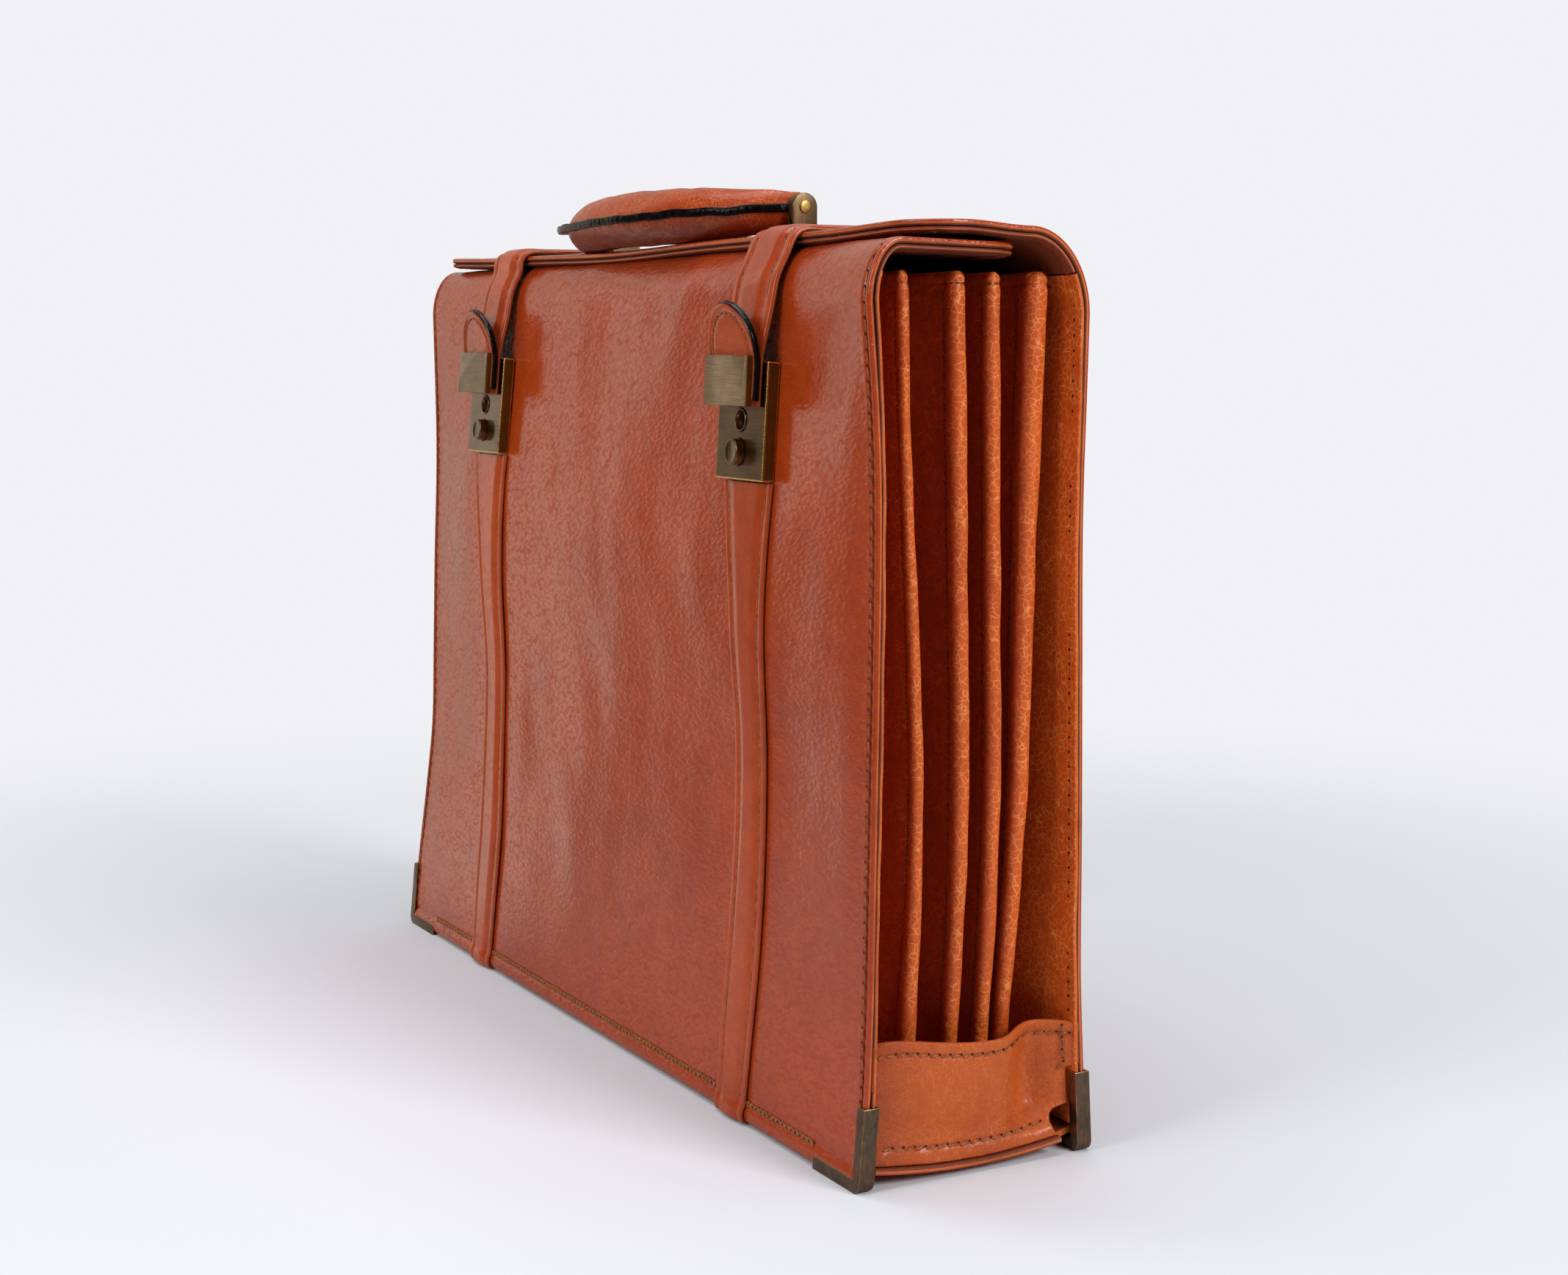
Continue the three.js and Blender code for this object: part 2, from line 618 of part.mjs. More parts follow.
[['left', -LOCK_X], ['right', LOCK_X]].forEach(([side, x]) => {
  addPiece(`front_strap_${side}`, frontStrap(x), STRAP_TAN);
  addPiece(`top_strap_${side}`, topStrap(x), STRAP_TAN);
  const { foot, angle } = lockSlope(x);
  const slope = new THREE.Group();
  slope.position.set(x, foot.x, foot.y);
  slope.rotation.x = Math.PI / 2 - angle;
  bag.add(slope);
  addPiece(`lock_case_${side}`, lockCase(), ANTIQUE_BRASS, slope);
  addPiece(`lock_plug_${side}`, lockPlug(), ANTIQUE_BRASS, slope);
  addPiece(`lock_button_${side}`, lockButton(), ANTIQUE_BRASS, slope);
  addPiece(`hasp_${side}`, haspPlate(), BRUSHED_BRASS, slope);
  addPiece(`pull_tab_${side}`, pullTab(), STRAP_TAN, slope);
});

// Corner guards: an L of folded metal round a panel's lower corner, leaning with the panel
function roundedFoot(edge, round, left, top) {
  const shape = new THREE.Shape();
  shape.moveTo(left, edge);
  shape.lineTo(HALF_LENGTH - edge - round, edge);
  shape.absarc(HALF_LENGTH - edge - round, edge + round, round, -Math.PI / 2, 0, false);
  shape.lineTo(HALF_LENGTH - edge, top);
  return shape;
}

function guard(lean) {
  const inside = HIDE + PLEAT + 3 * GAP;
  const left = HALF_LENGTH - GUARD.along;
  const outline = roundedFoot(0, GUARD.round, left, GUARD.upright);
  outline.lineTo(HALF_LENGTH - GUARD.leg, GUARD.upright);
  outline.lineTo(HALF_LENGTH - GUARD.leg, GUARD.leg);
  outline.lineTo(left, GUARD.leg);
  const beyond = GUARD.leg;
  const slotTop = GUARD.upright + beyond;
  const slotOutline = roundedFoot(GUARD_METAL, GUARD.round - GUARD_METAL, left - beyond, slotTop);
  slotOutline.lineTo(left - beyond, slotTop);
  const options = { curveSegments: GUARD_ARC_STEPS, bevelEnabled: false };
  const block = new THREE.ExtrudeGeometry(outline, { depth: inside + 2 * GUARD_METAL, ...options });
  const slot = new THREE.ExtrudeGeometry(slotOutline, { depth: inside, ...options });
  slot.translate(0, 0, GUARD_METAL);
  const channel = cut(block, slot);
  channel.rotateX(Math.PI / 2);
  channel.scale(1, -1, 1);
  channel.translate(0, -HALF_DEPTH, 0);
  const slope = new THREE.Matrix4().set(1, 0, 0, 0, 0, 1, lean, 0, 0, 0, 1, 0, 0, 0, 0, 1);
  return closed(channel.applyMatrix4(slope));
}

const leanOf = (rows, name) => (rows[1][name] - rows[0][name]) / rows[1].z;
const backGuard = closed(guard(leanOf(BACK_LEAN, 'in')).scale(1, -1, 1));
addPiece('corner_front_right', guard(leanOf(FRONT_LEAN, 'near')), BRONZE);
addPiece('corner_front_left', mirrored(guard(leanOf(FRONT_LEAN, 'far'))), BRONZE);
addPiece('corner_back_right', backGuard, BRONZE);
addPiece('corner_back_left', mirrored(backGuard), BRONZE);

// Handle: an arch with oval sections that swell and sink towards its middle
const GRIP_STEPS = 26;
const GRIP_SIDES = 14;

function handleGrip() {
  const geometry = new THREE.CylinderGeometry(1, 1, 1, GRIP_SIDES, GRIP_STEPS);
  const position = geometry.attributes.position;
  for (let n = 0; n < position.count; n += 1) {
    const angle = turn(mix(-GRIP.overrun, 180 + GRIP.overrun, position.getY(n) + 0.5));
    const swell = Math.max(0, Math.sin(angle)) ** GRIP.taper;
    const outward = new THREE.Vector2(GRIP.reachY * Math.cos(angle), -GRIP.reachX * Math.sin(angle)).normalize();
    const wide = position.getX(n) * mix(GRIP.endWide, GRIP.wide, swell);
    const pad = position.getZ(n) > 0 ? PADS.above : PADS.below;
    const high = position.getZ(n) * mix(GRIP.endHigh, pad, swell);
    position.setXYZ(
      n,
      GRIP.reachX * Math.cos(angle) + outward.x * wide,
      PIN.y - GRIP.reachY * Math.sin(angle) + outward.y * wide,
      PIN.z - GRIP.sink * swell + high,
    );
  }
  const arch = closed(geometry);
  const holes = [-1, 1].map((end) => {
    const hole = cylinderAlongX(PIN.hole, PIN.inner - GAP, POST.x + CUT_PAST, PIN.y, PIN.z);
    return end > 0 ? hole : mirrored(hole);
  });
  return cut(arch, ...holes);
}

function handleBracket() {
  const seat = BACK_BEND.z + BACK_BEND.high + GAP;
  const half = POST.wide / 2;
  const outline = new THREE.Shape();
  outline.moveTo(PIN.y - half, seat);
  outline.lineTo(PIN.y + half, seat);
  outline.lineTo(PIN.y + half, PIN.z);
  outline.absarc(PIN.y, PIN.z, half, 0, Math.PI, false);
  outline.closePath();
  const options = { depth: POST.thick, bevelEnabled: false, curveSegments: ARC_STEPS };
  const post = new THREE.ExtrudeGeometry(outline, options);
  const stand = new THREE.Matrix4().makeBasis(
    new THREE.Vector3(0, 1, 0),
    new THREE.Vector3(0, 0, 1),
    new THREE.Vector3(1, 0, 0),
  );
  post.applyMatrix4(stand).translate(POST.x, 0, 0);
  const foot = new THREE.BoxGeometry(PLATE.long, PLATE.wide, PLATE.thick);
  foot.translate(POST.x + POST.thick - PLATE.long / 2, PIN.y, seat + PLATE.thick / 2);
  const hole = cylinderAlongX(PIN.hole, POST.x - CUT_PAST, POST.x + POST.thick + CUT_PAST, PIN.y, PIN.z);
  return cut(join(post, foot), hole);
}

function handlePin() {
  const shoulder = POST.x + POST.thick + GAP - PIN.inner;
  const profile = [
    [0, 0],
    [PIN.radius, 0],
    [PIN.radius, shoulder],
    [PIN.headRadius, shoulder],
    [PIN.headRadius, shoulder + PIN.rim],
    [PIN.headRadius * PIN.dome, shoulder + 2 * PIN.rim],
    [0, shoulder + PIN.head],
  ];
  const geometry = new THREE.LatheGeometry(profile.map(([r, y]) => new THREE.Vector2(r, y)), PIN_SIDES);
  geometry.rotateZ(-Math.PI / 2);
  geometry.translate(PIN.inner, PIN.y, PIN.z);
  return closed(geometry);
}

addPiece('handle_grip', handleGrip(), TAN);
addPiece('handle_bracket_right', handleBracket(), BRUSHED_BRASS);
addPiece('handle_bracket_left', mirrored(handleBracket()), BRUSHED_BRASS);
addPiece('handle_pin_right', handlePin(), BRIGHT_BRASS);
addPiece('handle_pin_left', mirrored(handlePin()), BRIGHT_BRASS);

// Centre the outline on the origin
const outline = new THREE.Box3().setFromObject(bag, true);
bag.position.y = -(outline.min.y + outline.max.y) / 2;

export default bag;
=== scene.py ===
# %% [markdown]
# # A leather briefcase
# A stiff front and back in glossy tan leather, pleated ends, a flap with two strap locks and a padded
# handle. The imported solids say where everything sits. Here each one is dressed with soft folds, cut
# edges, stitches and brass. The frame is loaded first. The dressed bag may not grow out of it.

# %% Load the imported frame
import math

import bpy
import numpy as np
from mathutils import Matrix, Vector, noise


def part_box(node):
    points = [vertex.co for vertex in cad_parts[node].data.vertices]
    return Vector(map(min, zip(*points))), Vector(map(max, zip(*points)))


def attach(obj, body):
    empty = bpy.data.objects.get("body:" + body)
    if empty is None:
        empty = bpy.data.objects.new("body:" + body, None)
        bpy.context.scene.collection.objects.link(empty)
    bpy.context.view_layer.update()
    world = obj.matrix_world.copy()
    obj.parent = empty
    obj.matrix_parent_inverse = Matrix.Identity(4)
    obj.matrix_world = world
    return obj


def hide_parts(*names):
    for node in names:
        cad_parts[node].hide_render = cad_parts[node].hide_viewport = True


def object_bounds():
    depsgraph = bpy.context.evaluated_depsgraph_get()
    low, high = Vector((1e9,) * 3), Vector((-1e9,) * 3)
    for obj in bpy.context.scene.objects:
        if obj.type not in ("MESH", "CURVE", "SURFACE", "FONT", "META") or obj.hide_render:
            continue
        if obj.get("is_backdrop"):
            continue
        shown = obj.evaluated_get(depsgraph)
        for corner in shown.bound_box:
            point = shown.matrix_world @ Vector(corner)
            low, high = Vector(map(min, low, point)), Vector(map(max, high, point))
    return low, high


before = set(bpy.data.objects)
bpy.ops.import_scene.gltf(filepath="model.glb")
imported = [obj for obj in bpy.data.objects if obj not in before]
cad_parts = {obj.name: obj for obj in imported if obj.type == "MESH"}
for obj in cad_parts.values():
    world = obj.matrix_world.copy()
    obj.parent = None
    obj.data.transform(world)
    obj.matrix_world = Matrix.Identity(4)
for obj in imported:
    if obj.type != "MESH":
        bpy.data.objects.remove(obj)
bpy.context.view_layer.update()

# %% [markdown]
# ## Camera
# The photograph looks at the bag's right front corner, from a little above.
# A pinhole camera was fitted to the bag's straight edges, and these are its place, turn and lens.

# %% Camera
EYE = (0.84536, -0.42057, 0.27165)
AZIMUTH = math.radians(61.33)
LOOK_DOWN = math.radians(7)

bpy.ops.object.camera_add(location=EYE, rotation=(math.pi / 2 - LOOK_DOWN, 0, AZIMUTH))
camera = bpy.context.object
camera.data.lens = 54.65
camera.data.sensor_width = 36
camera.data.sensor_fit = "HORIZONTAL"
bpy.context.scene.camera = camera
print("camera:", camera.data.lens, "mm")

# %% [markdown]
# ## Shader arithmetic
# A finish is a small sum: base colour plus spots minus creases. Node by node that is long to write.
# So one class wraps a socket, and plus, minus and times on it add Math nodes.
# Its node() method adds any other node: first the settings, then the inputs.

# %% A socket that can be calculated with
class Wire:
    """A socket of a shader's node tree."""

    def __init__(self, tree, socket=None):
        self.tree = tree
        self.socket = socket

    def feed(self, socket, value):
        if isinstance(value, Wire):
            self.tree.links.new(value.socket, socket)
        else:
            socket.default_value = value

    def node(self, kind, settings=None, inputs=None, output=0):
        made = self.tree.nodes.new("ShaderNode" + kind)
        for name, value in (settings or {}).items():
            setattr(made, name, value)
        for name, value in (inputs or {}).items():
            self.feed(made.inputs[name], value)
        return Wire(self.tree, made.outputs[output])

    def noise(self, spot, scale, detail, output=0):
        cloud = {"Vector": spot, "Scale": scale, "Detail": detail}
        return self.node("TexNoise", inputs=cloud, output=output)

    def bump(self, height, distance):
        """A normal for a relief: its height from 0 to 1, and what 1 stands for in metres."""
        return self.node("Bump", inputs={"Height": height, "Distance": distance})

    def calculate(self, operation, first, second):
        return self.node("Math", {"operation": operation}, {0: first, 1: second})

    def __add__(self, other):
        return self.calculate("ADD", self, other)

    def __radd__(self, other):
        return self.calculate("ADD", other, self)

    def __sub__(self, other):
        return self.calculate("SUBTRACT", self, other)

    def __rsub__(self, other):
        return self.calculate("SUBTRACT", other, self)

    def __mul__(self, other):
        return self.calculate("MULTIPLY", self, other)

    def __abs__(self):
        return self.calculate("ABSOLUTE", self, 0)

    def between(self, low, high):
        """0 below the low value and 1 above the high one, with a smooth step."""
        limits = {"Value": self, "From Min": low, "From Max": high}
        return self.node("MapRange", {"interpolation_type": "SMOOTHSTEP"}, limits)

    def tint(self, first, second):
        """The first colour where this is 0, and the second where it is 1."""
        return self.node("Mix", {"data_type": "RGBA"}, {0: self, 6: first, 7: second}, output=2)

# %% Colours and finishes
def paint(red, green, blue):
    """A colour from 0 to 255, as seen on a screen, for a shader."""
    seen = np.array([red, green, blue]) / 255
    linear = np.where(seen <= 0.04045, seen / 12.92, ((seen + 0.055) / 1.055) ** 2.4)
    return (*linear.tolist(), 1.0)


def new_finish(name):
    """A new material, a wire on its node tree, and its shader."""
    material = bpy.data.materials.new(name)
    material.use_nodes = True
    return material, Wire(material.node_tree), material.node_tree.nodes["Principled BSDF"]


def dress(wire, shader, looks):
    """Feeds numbers or wires into a shader's inputs, by their names."""
    for name, value in looks.items():
        wire.feed(shader.inputs[name], value)


# %% [markdown]
# ## Studio
# The bag stands on white paper that sweeps up behind it, and the room beside the photographer is dark.
# The leather's sheen is that pale sweep, mirrored at a flat angle. Where the leather waves, the mirrored
# edge of the sweep wanders over it in streaks.
# The camera sees paper everywhere: the floor fades into the sweep's own brightness, so no horizon shows.

# %% Floor and sweep
SWEEP = paint(241, 241, 245)
MIRRORED_SWEEP = (1.25, 1.16, 0.99, 1)
SWEEP_SIDE = Vector((-math.sin(AZIMUTH), math.cos(AZIMUTH), 0.0))
FLOOR_RADIUS = 8.0
SEEN_FADE = (0.22, 0.85)
MIRRORED_FADE = (0.1, 0.4)
SHEEN_EDGE = (0.574, 0.612)
SHEEN_FADE = (0.61, 0.70)
SHEEN_LOSS = 0.62
ROOM = (0.14, 0.14, 0.14, 1)
MIRRORED_ROOM = (0.06, 0.055, 0.05, 1)


def sheen(wire, direction):
    """What the leather mirrors in a direction: the sweep behind the bag, or the dark room beside it."""
    level = wire.node("VectorMath", {"operation": "MULTIPLY"}, {0: direction, 1: (1, 1, 0)})
    aim = wire.node("VectorMath", {"operation": "NORMALIZE"}, {0: level})
    facing = wire.node("VectorMath", {"operation": "DOT_PRODUCT"}, {0: aim, 1: SWEEP_SIDE}, "Value")
    return facing.between(*SHEEN_EDGE) * (1 - facing.between(*SHEEN_FADE) * SHEEN_LOSS)


bpy.ops.object.select_all(action="DESELECT")
bpy.ops.mesh.primitive_circle_add(vertices=96, radius=FLOOR_RADIUS, fill_type="NGON")
floor = bpy.context.object
floor.name = "paper_floor"
floor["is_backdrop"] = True

paper, wire, shader = new_finish("white_paper")
spot = wire.node("TexCoord", output="Object")
distance = wire.node("VectorMath", {"operation": "LENGTH"}, {0: spot}, "Value")
seen = wire.node("LightPath", output="Is Camera Ray")
mirrored = wire.node("LightPath", output="Is Glossy Ray")
# Seen in mirrors, the paper darkens away from the bag, and further off it glows with the sweep's sheen: a
# painted reflection.
dim = distance.between(0.2, 0.8).tint(paint(176, 170, 166), paint(72, 66, 62))
dress(wire, shader, {"Base Color": mirrored.tint(paint(229, 233, 240), dim), "Roughness": 0.8})
seen_glow = seen * distance.between(*SEEN_FADE)
mirrored_glow = mirrored * sheen(wire, spot) * distance.between(*MIRRORED_FADE)
glow = wire.node("Emission", inputs={"Color": mirrored.tint(SWEEP, MIRRORED_SWEEP)})
plain = Wire(wire.tree, shader.outputs[0])
mixed = wire.node("MixShader", inputs={0: seen_glow + mirrored_glow, 1: plain, 2: glow})
wire.feed(wire.tree.nodes["Material Output"].inputs["Surface"], mixed)
floor.data.materials.append(paper)
print("floor:", FLOOR_RADIUS, "m")

# %% [markdown]
# ## Lights
# Behind everything lies the world: the camera sees the pale sweep in it, and the leather mirrors its
# sheen. Four soft boxes light the bag as a studio would: one at the end that the camera sees, a broad
# one overhead, and two in front. The left one is kept out of mirrors, so it leaves no spot on the brass.

# %% World
world = bpy.data.worlds.new("studio")
world.use_nodes = True
bpy.context.scene.world = world
bpy.context.scene.view_settings.view_transform = "Standard"
wire = Wire(world.node_tree)
backdrop = world.node_tree.nodes.get("Background") or world.node_tree.nodes.new("ShaderNodeBackground")
direction = wire.node("TexCoord", output="Generated")
seen = wire.node("LightPath", output="Is Camera Ray")
mirrored = wire.node("LightPath", output="Is Glossy Ray")
sky = mirrored.tint(ROOM, sheen(wire, direction).tint(MIRRORED_ROOM, MIRRORED_SWEEP))
wire.feed(backdrop.inputs["Color"], seen.tint(sky, SWEEP))
out = world.node_tree.nodes.get("World Output") or world.node_tree.nodes.new("ShaderNodeOutputWorld")
wire.feed(out.inputs["Surface"], Wire(wire.tree, backdrop.outputs[0]))

# %% Lights
def softbox(name, place, size, power, aim=(0, 0, 0.15)):
    """A square soft light that faces the bag."""
    turn = (Vector(aim) - Vector(place)).to_track_quat("-Z", "Y").to_euler()
    bpy.ops.object.light_add(type="AREA", location=place, rotation=turn)
    light = bpy.context.object
    light.name = name
    light.data.size = size
    light.data.energy = power
    return light


softbox("right", (1.7, 0.5, 1.1), 0.7, 23)
softbox("overhead", (-0.1, 0.0, 2.0), 1.6, 20)
softbox("front", (0.3, -1.8, 1.1), 0.9, 15)
softbox("left", (-1.5, -1.0, 1.2), 1.0, 9).visible_glossy = False
print("lights: sweep and four soft boxes")

# %% [markdown]
# ## Leather
# Tanned hide has three scales of detail: soft domes of a millimetre or two with valleys between them,
# creases of a few centimetres, and slow changes of colour. The valleys and creases take the polish away,
# and their colour is darkened as painted shade. Each dome tilts the mirrored sweep a little, so the sheen
# breaks up into grain. A thin clear coat lies smooth over the domes, as wax polish does, and mirrors the
# sweep in broad streaks.

# %% Leather finish
EVEN = (1, 1, 1)


def leather(name, deep, body, pale, cell=2.4, crackle=0.3, relief=0.3, gloss=0.3, stretch=(2.3, 1, 1),
            coat=0.8, shine=0.2, grooved=1.0, shade=None, painted=False):
    """A hide: dark, usual and pale colour, cell size in mm, pale lines, relief in mm, roughness and polish.

    Grooved says how much of the polish the valleys between the cells take away, and how dark the painted
    shade in them is.
    With a shade, the hide is painted in that shade colour wherever its ridge attribute is 0, a little
    lighter on its grain: painted shade. Painted, its rim is black.
    """
    deep, body, pale = paint(*deep), paint(*body), paint(*pale)
    material, wire, shader = new_finish(name)
    spot = wire.node("TexCoord", output="Object")
    sway = wire.noise(spot, 90, 3, "Color")
    bent = wire.node("VectorMath", {"operation": "MULTIPLY_ADD"}, {0: sway, 1: (0.004,) * 3, 2: spot})
    turned = {"Vector": bent, "Rotation": (0, -0.12, 0), "Scale": stretch}
    drawn = wire.node("Mapping", {"vector_type": "TEXTURE"}, turned)
    cells = {"Vector": drawn, "Scale": 1000 / cell, "Smoothness": 0.22}
    slope = wire.node("TexVoronoi", {"feature": "SMOOTH_F1"}, cells, "Distance")
    pillow = 1 - slope.between(0.0, 0.9)
    valley = slope.between(0.35, 0.75)
    small = {"Vector": bent, "Scale": 1600 / cell}
    grain = wire.node("TexVoronoi", {"feature": "DISTANCE_TO_EDGE"}, small, "Distance")
    line = 1 - grain.between(0.01, 0.08)
    pulled = {"Vector": bent, "Rotation": (0, -0.25, 0), "Scale": (4, 1, 1.3)}
    long = wire.node("Mapping", {"vector_type": "TEXTURE"}, pulled)
    fold = wire.noise(long, 150, 3)
    crease = (1 - abs(fold - 0.5) * 22).between(0.0, 1.0)
    broad = wire.noise(spot, 16, 4)
    patch = wire.noise(spot, 120, 3)
    groove = (valley * (0.2 + patch * 0.6) + crease * patch * 0.4) * (0.5 + broad) * grooved
    tone = (broad * 0.7 + patch * 0.3).between(0.33, 0.66)
    lines = line * crackle * patch.between(0.2, 0.6)
    # Painted shade: the valleys and creases are darkened in colour.
    sunk_shade = tuple(0.7 * part for part in deep[:3]) + (1,)
    colour = (groove * 0.4).tint(lines.tint(tone.tint(deep, body), pale), sunk_shade)
    # Painted shade: where the ridge attribute is 0 the hide takes the shade colour, lighter on its grain.
    if shade:
        ridge = wire.node("Attribute", {"attribute_name": "ridge"}, output="Fac")
        lit_shade = tuple(1.9 * part for part in paint(*shade)[:3]) + (1,)
        colour = ridge.tint((lines + pillow * 0.25).tint(paint(*shade), lit_shade), colour)
    if painted:
        rim = wire.node("Attribute", {"attribute_name": "rim"}, output="Fac")
        colour = rim.between(0.45, 0.75).tint(paint(12, 9, 8), colour)
    height = pillow * (0.5 + patch * 0.6 + broad * 0.4) - line * 0.1 - crease * patch * 0.9
    dress(wire, shader, {
        "Base Color": colour,
        "Roughness": gloss + (broad - 0.5) * 0.1 + groove * 0.25,
        "Normal": wire.bump(height, relief / 1000),
        "Coat Weight": (1 - groove.between(0.05, 0.85)) * coat,
        "Coat Roughness": 0.11,
        "Specular IOR Level": shine,
    })
    return material


TAN = leather("tan_leather", (154, 49, 11), (173, 60, 14), (204, 98, 42), 1.5, 0.3, 0.11,
              gloss=0.16, coat=0.34, shine=0.5, grooved=0.9)
STRAP_TAN = leather("strap_leather", (158, 54, 16), (180, 68, 22), (210, 110, 58), 1.6, 0.3, 0.04,
                    coat=0.6, grooved=0.5)
TAB_TAN = leather("tab_leather", (150, 52, 16), (172, 66, 22), (206, 108, 58), 2.0, 0.4, 0.06,
                  coat=0.55, grooved=0.7, painted=True)
# The shade colours of the pleats, boots and grip are painted shade for their dark parts.
PLEAT_TAN = leather("pleat_leather", (190, 76, 20), (212, 93, 28), (244, 162, 86), 4.0, 0.65, 0.2,
                    0.4, (1, 1, 1.2), coat=0.0, shine=0.35, grooved=0.5, shade=(138, 41, 8))
LINING_TAN = leather("lining_leather", (100, 40, 17), (124, 52, 24), (160, 84, 50), 1.6, 0.2, 0.10,
                     0.6, EVEN, coat=0.0, shine=0.45, grooved=0.5)
CUT_EDGE = leather("cut_edge", (172, 74, 26), (204, 100, 40), (232, 148, 84), 0.9, 0.3, 0.06,
                   0.36, (1, 1, 3), coat=0.1, shine=0.45, grooved=0.0)
BOOT_TAN = leather("boot_leather", (168, 66, 20), (192, 85, 28), (226, 134, 68), 2.2, 0.4, 0.12,
                   0.36, EVEN, coat=0.2, shine=0.35, grooved=0.6, shade=(128, 44, 14))
GRIP_TAN = leather("grip_leather", (148, 49, 12), (170, 61, 16), (214, 118, 58), 2.6, 0.75, 0.09,
                   0.26, EVEN, coat=0.12, shine=0.28, grooved=0.7, shade=(86, 22, 7))
print("leathers made:", [m.name for m in bpy.data.materials if "leather" in m.name or "edge" in m.name])

# %% [markdown]
# ## Edge paint, thread and brass
# The tab and the handle's seam have a thick black edge paint, which is glossy and lumpy. Brass is
# brushed along one direction: noise is stretched a hundredfold along it. The dark lacquer rubs off the
# edges first, so every bevel gets a second, bright finish.

# %% Paint, thread and brass finishes
def edge_paint():
    """Thick, glossy black paint."""
    material, wire, shader = new_finish("black_edge")
    spot = wire.node("TexCoord", output="Object")
    lumps = wire.noise(spot, 420, 3)
    dress(wire, shader, {
        "Base Color": lumps.between(0.35, 0.7).tint(paint(6, 5, 5), paint(18, 14, 13)),
        "Roughness": 0.1 + lumps * 0.25,
        "Normal": wire.bump(lumps, 0.0005),
        "Specular IOR Level": 0.12,
    })
    return material


def thread(name, dark, light):
    """Waxed thread, with a twist along it."""
    material, wire, shader = new_finish(name)
    spot = wire.node("TexCoord", output="Object")
    fuzz = wire.noise(spot, 1700, 3)
    dress(wire, shader, {
        "Base Color": fuzz.between(0.35, 0.65).tint(paint(*dark), paint(*light)),
        "Roughness": 0.55,
        "Normal": wire.bump(fuzz, 0.0002),
    })
    return material


def brass(name, dark, light, grain, gloss, lacquer=0.0):
    """Metal brushed along one axis, with a clear lacquer over it.

    Grain is the noise's scale along x, y and z.
    """
    material, wire, shader = new_finish(name)
    spot = wire.node("TexCoord", output="Object")
    drawn = wire.node("Mapping", {"vector_type": "POINT"}, {"Vector": spot, "Scale": grain})
    hair = wire.node("TexNoise", inputs={"Vector": drawn, "Scale": 1.0, "Detail": 5, "Roughness": 0.7})
    cloud = wire.noise(spot, 130, 4)
    tone = (hair * 0.65 + cloud * 0.35).between(0.34, 0.66)
    dress(wire, shader, {
        "Base Color": tone.tint(paint(*dark), paint(*light)),
        "Roughness": gloss + hair * 0.16,
        "Normal": wire.bump(hair, 0.00004),
        "Metallic": 1.0,
        "Coat Weight": lacquer,
        "Coat Roughness": 0.15,
    })
    return material


ACROSS = (60, 3000, 3000)
UPRIGHT = (3000, 3000, 60)
CAST = (900, 900, 300)
BLACK_EDGE = edge_paint()
THREAD = thread("brown_thread", (112, 56, 24), (180, 108, 56))
DARK_THREAD = thread("dark_thread", (58, 22, 9), (104, 48, 22))
# Painted shade in the needle holes: dark discs at the stitches.
HOLE_SHADE = thread("needle_hole_shade", (30, 10, 5), (48, 18, 8))
ANTIQUE = brass("antique_brass", (112, 80, 48), (154, 116, 76), ACROSS, 0.24, 0.55)
BRUSHED = brass("brushed_brass", (136, 104, 66), (194, 158, 112), ACROSS, 0.26, 0.6)
SIDE_BRASS = brass("side_brass", (112, 84, 36), (146, 112, 54), UPRIGHT, 0.5)
POST_BRASS = brass("post_brass", (104, 82, 58), (142, 116, 86), UPRIGHT, 0.34)
KEYHOLE = brass("keyhole_brass", (46, 34, 20), (78, 58, 34), ACROSS, 0.4)
WORN = brass("worn_brass", (206, 160, 78), (246, 208, 128), ACROSS, 0.18)
RIVET = brass("bright_brass", (170, 130, 70), (206, 166, 100), (500, 500, 500), 0.34)
BRONZE = brass("bronze", (100, 82, 68), (134, 113, 96), CAST, 0.34, 0.2)
RUBBED = brass("rubbed_bronze", (136, 110, 78), (184, 154, 112), CAST, 0.28)
print("metals made:", [m.name for m in bpy.data.materials if "br" in m.name])

# %% [markdown]
# ## Measures
# All sizes below are millimetres in the solids' own frame, and the tables are those of the solids.
# The frame is centred on the whole outline, so a pin, whose place is known, tells how far it was moved.
# A curve is laid smoothly through each table, because gloss shows every kink.

# %% Helpers for tables
MM = 0.001
PIN_Y = 2.0
pin_low, pin_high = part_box("handle_pin_right")
SHIFT_Y = (pin_low.y + pin_high.y) / 2 / MM - PIN_Y


def mix(first, second, t):
    """The first value where t is 0, and the second where it is 1."""
    return first + (second - first) * t


def share(value, low, high):
    """How far a value has come from low to high, from 0 to 1."""
    return np.clip((value - low) / (high - low), 0, 1)


def ease(t):
    """The same share with a soft start and end."""
    return t * t * (3 - 2 * t)


def hill(value, middle, wide):
    """1 at the middle, falling off smoothly on both sides."""
    return np.exp(-(((value - middle) / wide) ** 2))


def through(at, knots, values):
    """A smooth curve through a table."""
    at, knots, values = (np.asarray(row, float) for row in (at, knots, values))
    slopes = np.gradient(values, knots)
    n = np.clip(np.searchsorted(knots, at) - 1, 0, len(knots) - 2)
    step = knots[n + 1] - knots[n]
    t = np.clip((at - knots[n]) / step, 0, 1)
    start = (1 + 2 * t) * (1 - t) ** 2 * values[n] + t * (1 - t) ** 2 * step * slopes[n]
    return start + t * t * (3 - 2 * t) * values[n + 1] + t * t * (t - 1) * step * slopes[n + 1]


print("frame moved by", round(SHIFT_Y, 3), "mm")

# %% [markdown]
# ## Section of the bag
# The front leans in as it rises, more at the far end than at the near one, and both panels bend over at
# the top. The tables give how far each lies in from the bag's half depth, height by height. A hide is
# then laid along the section by its length s from the foot.

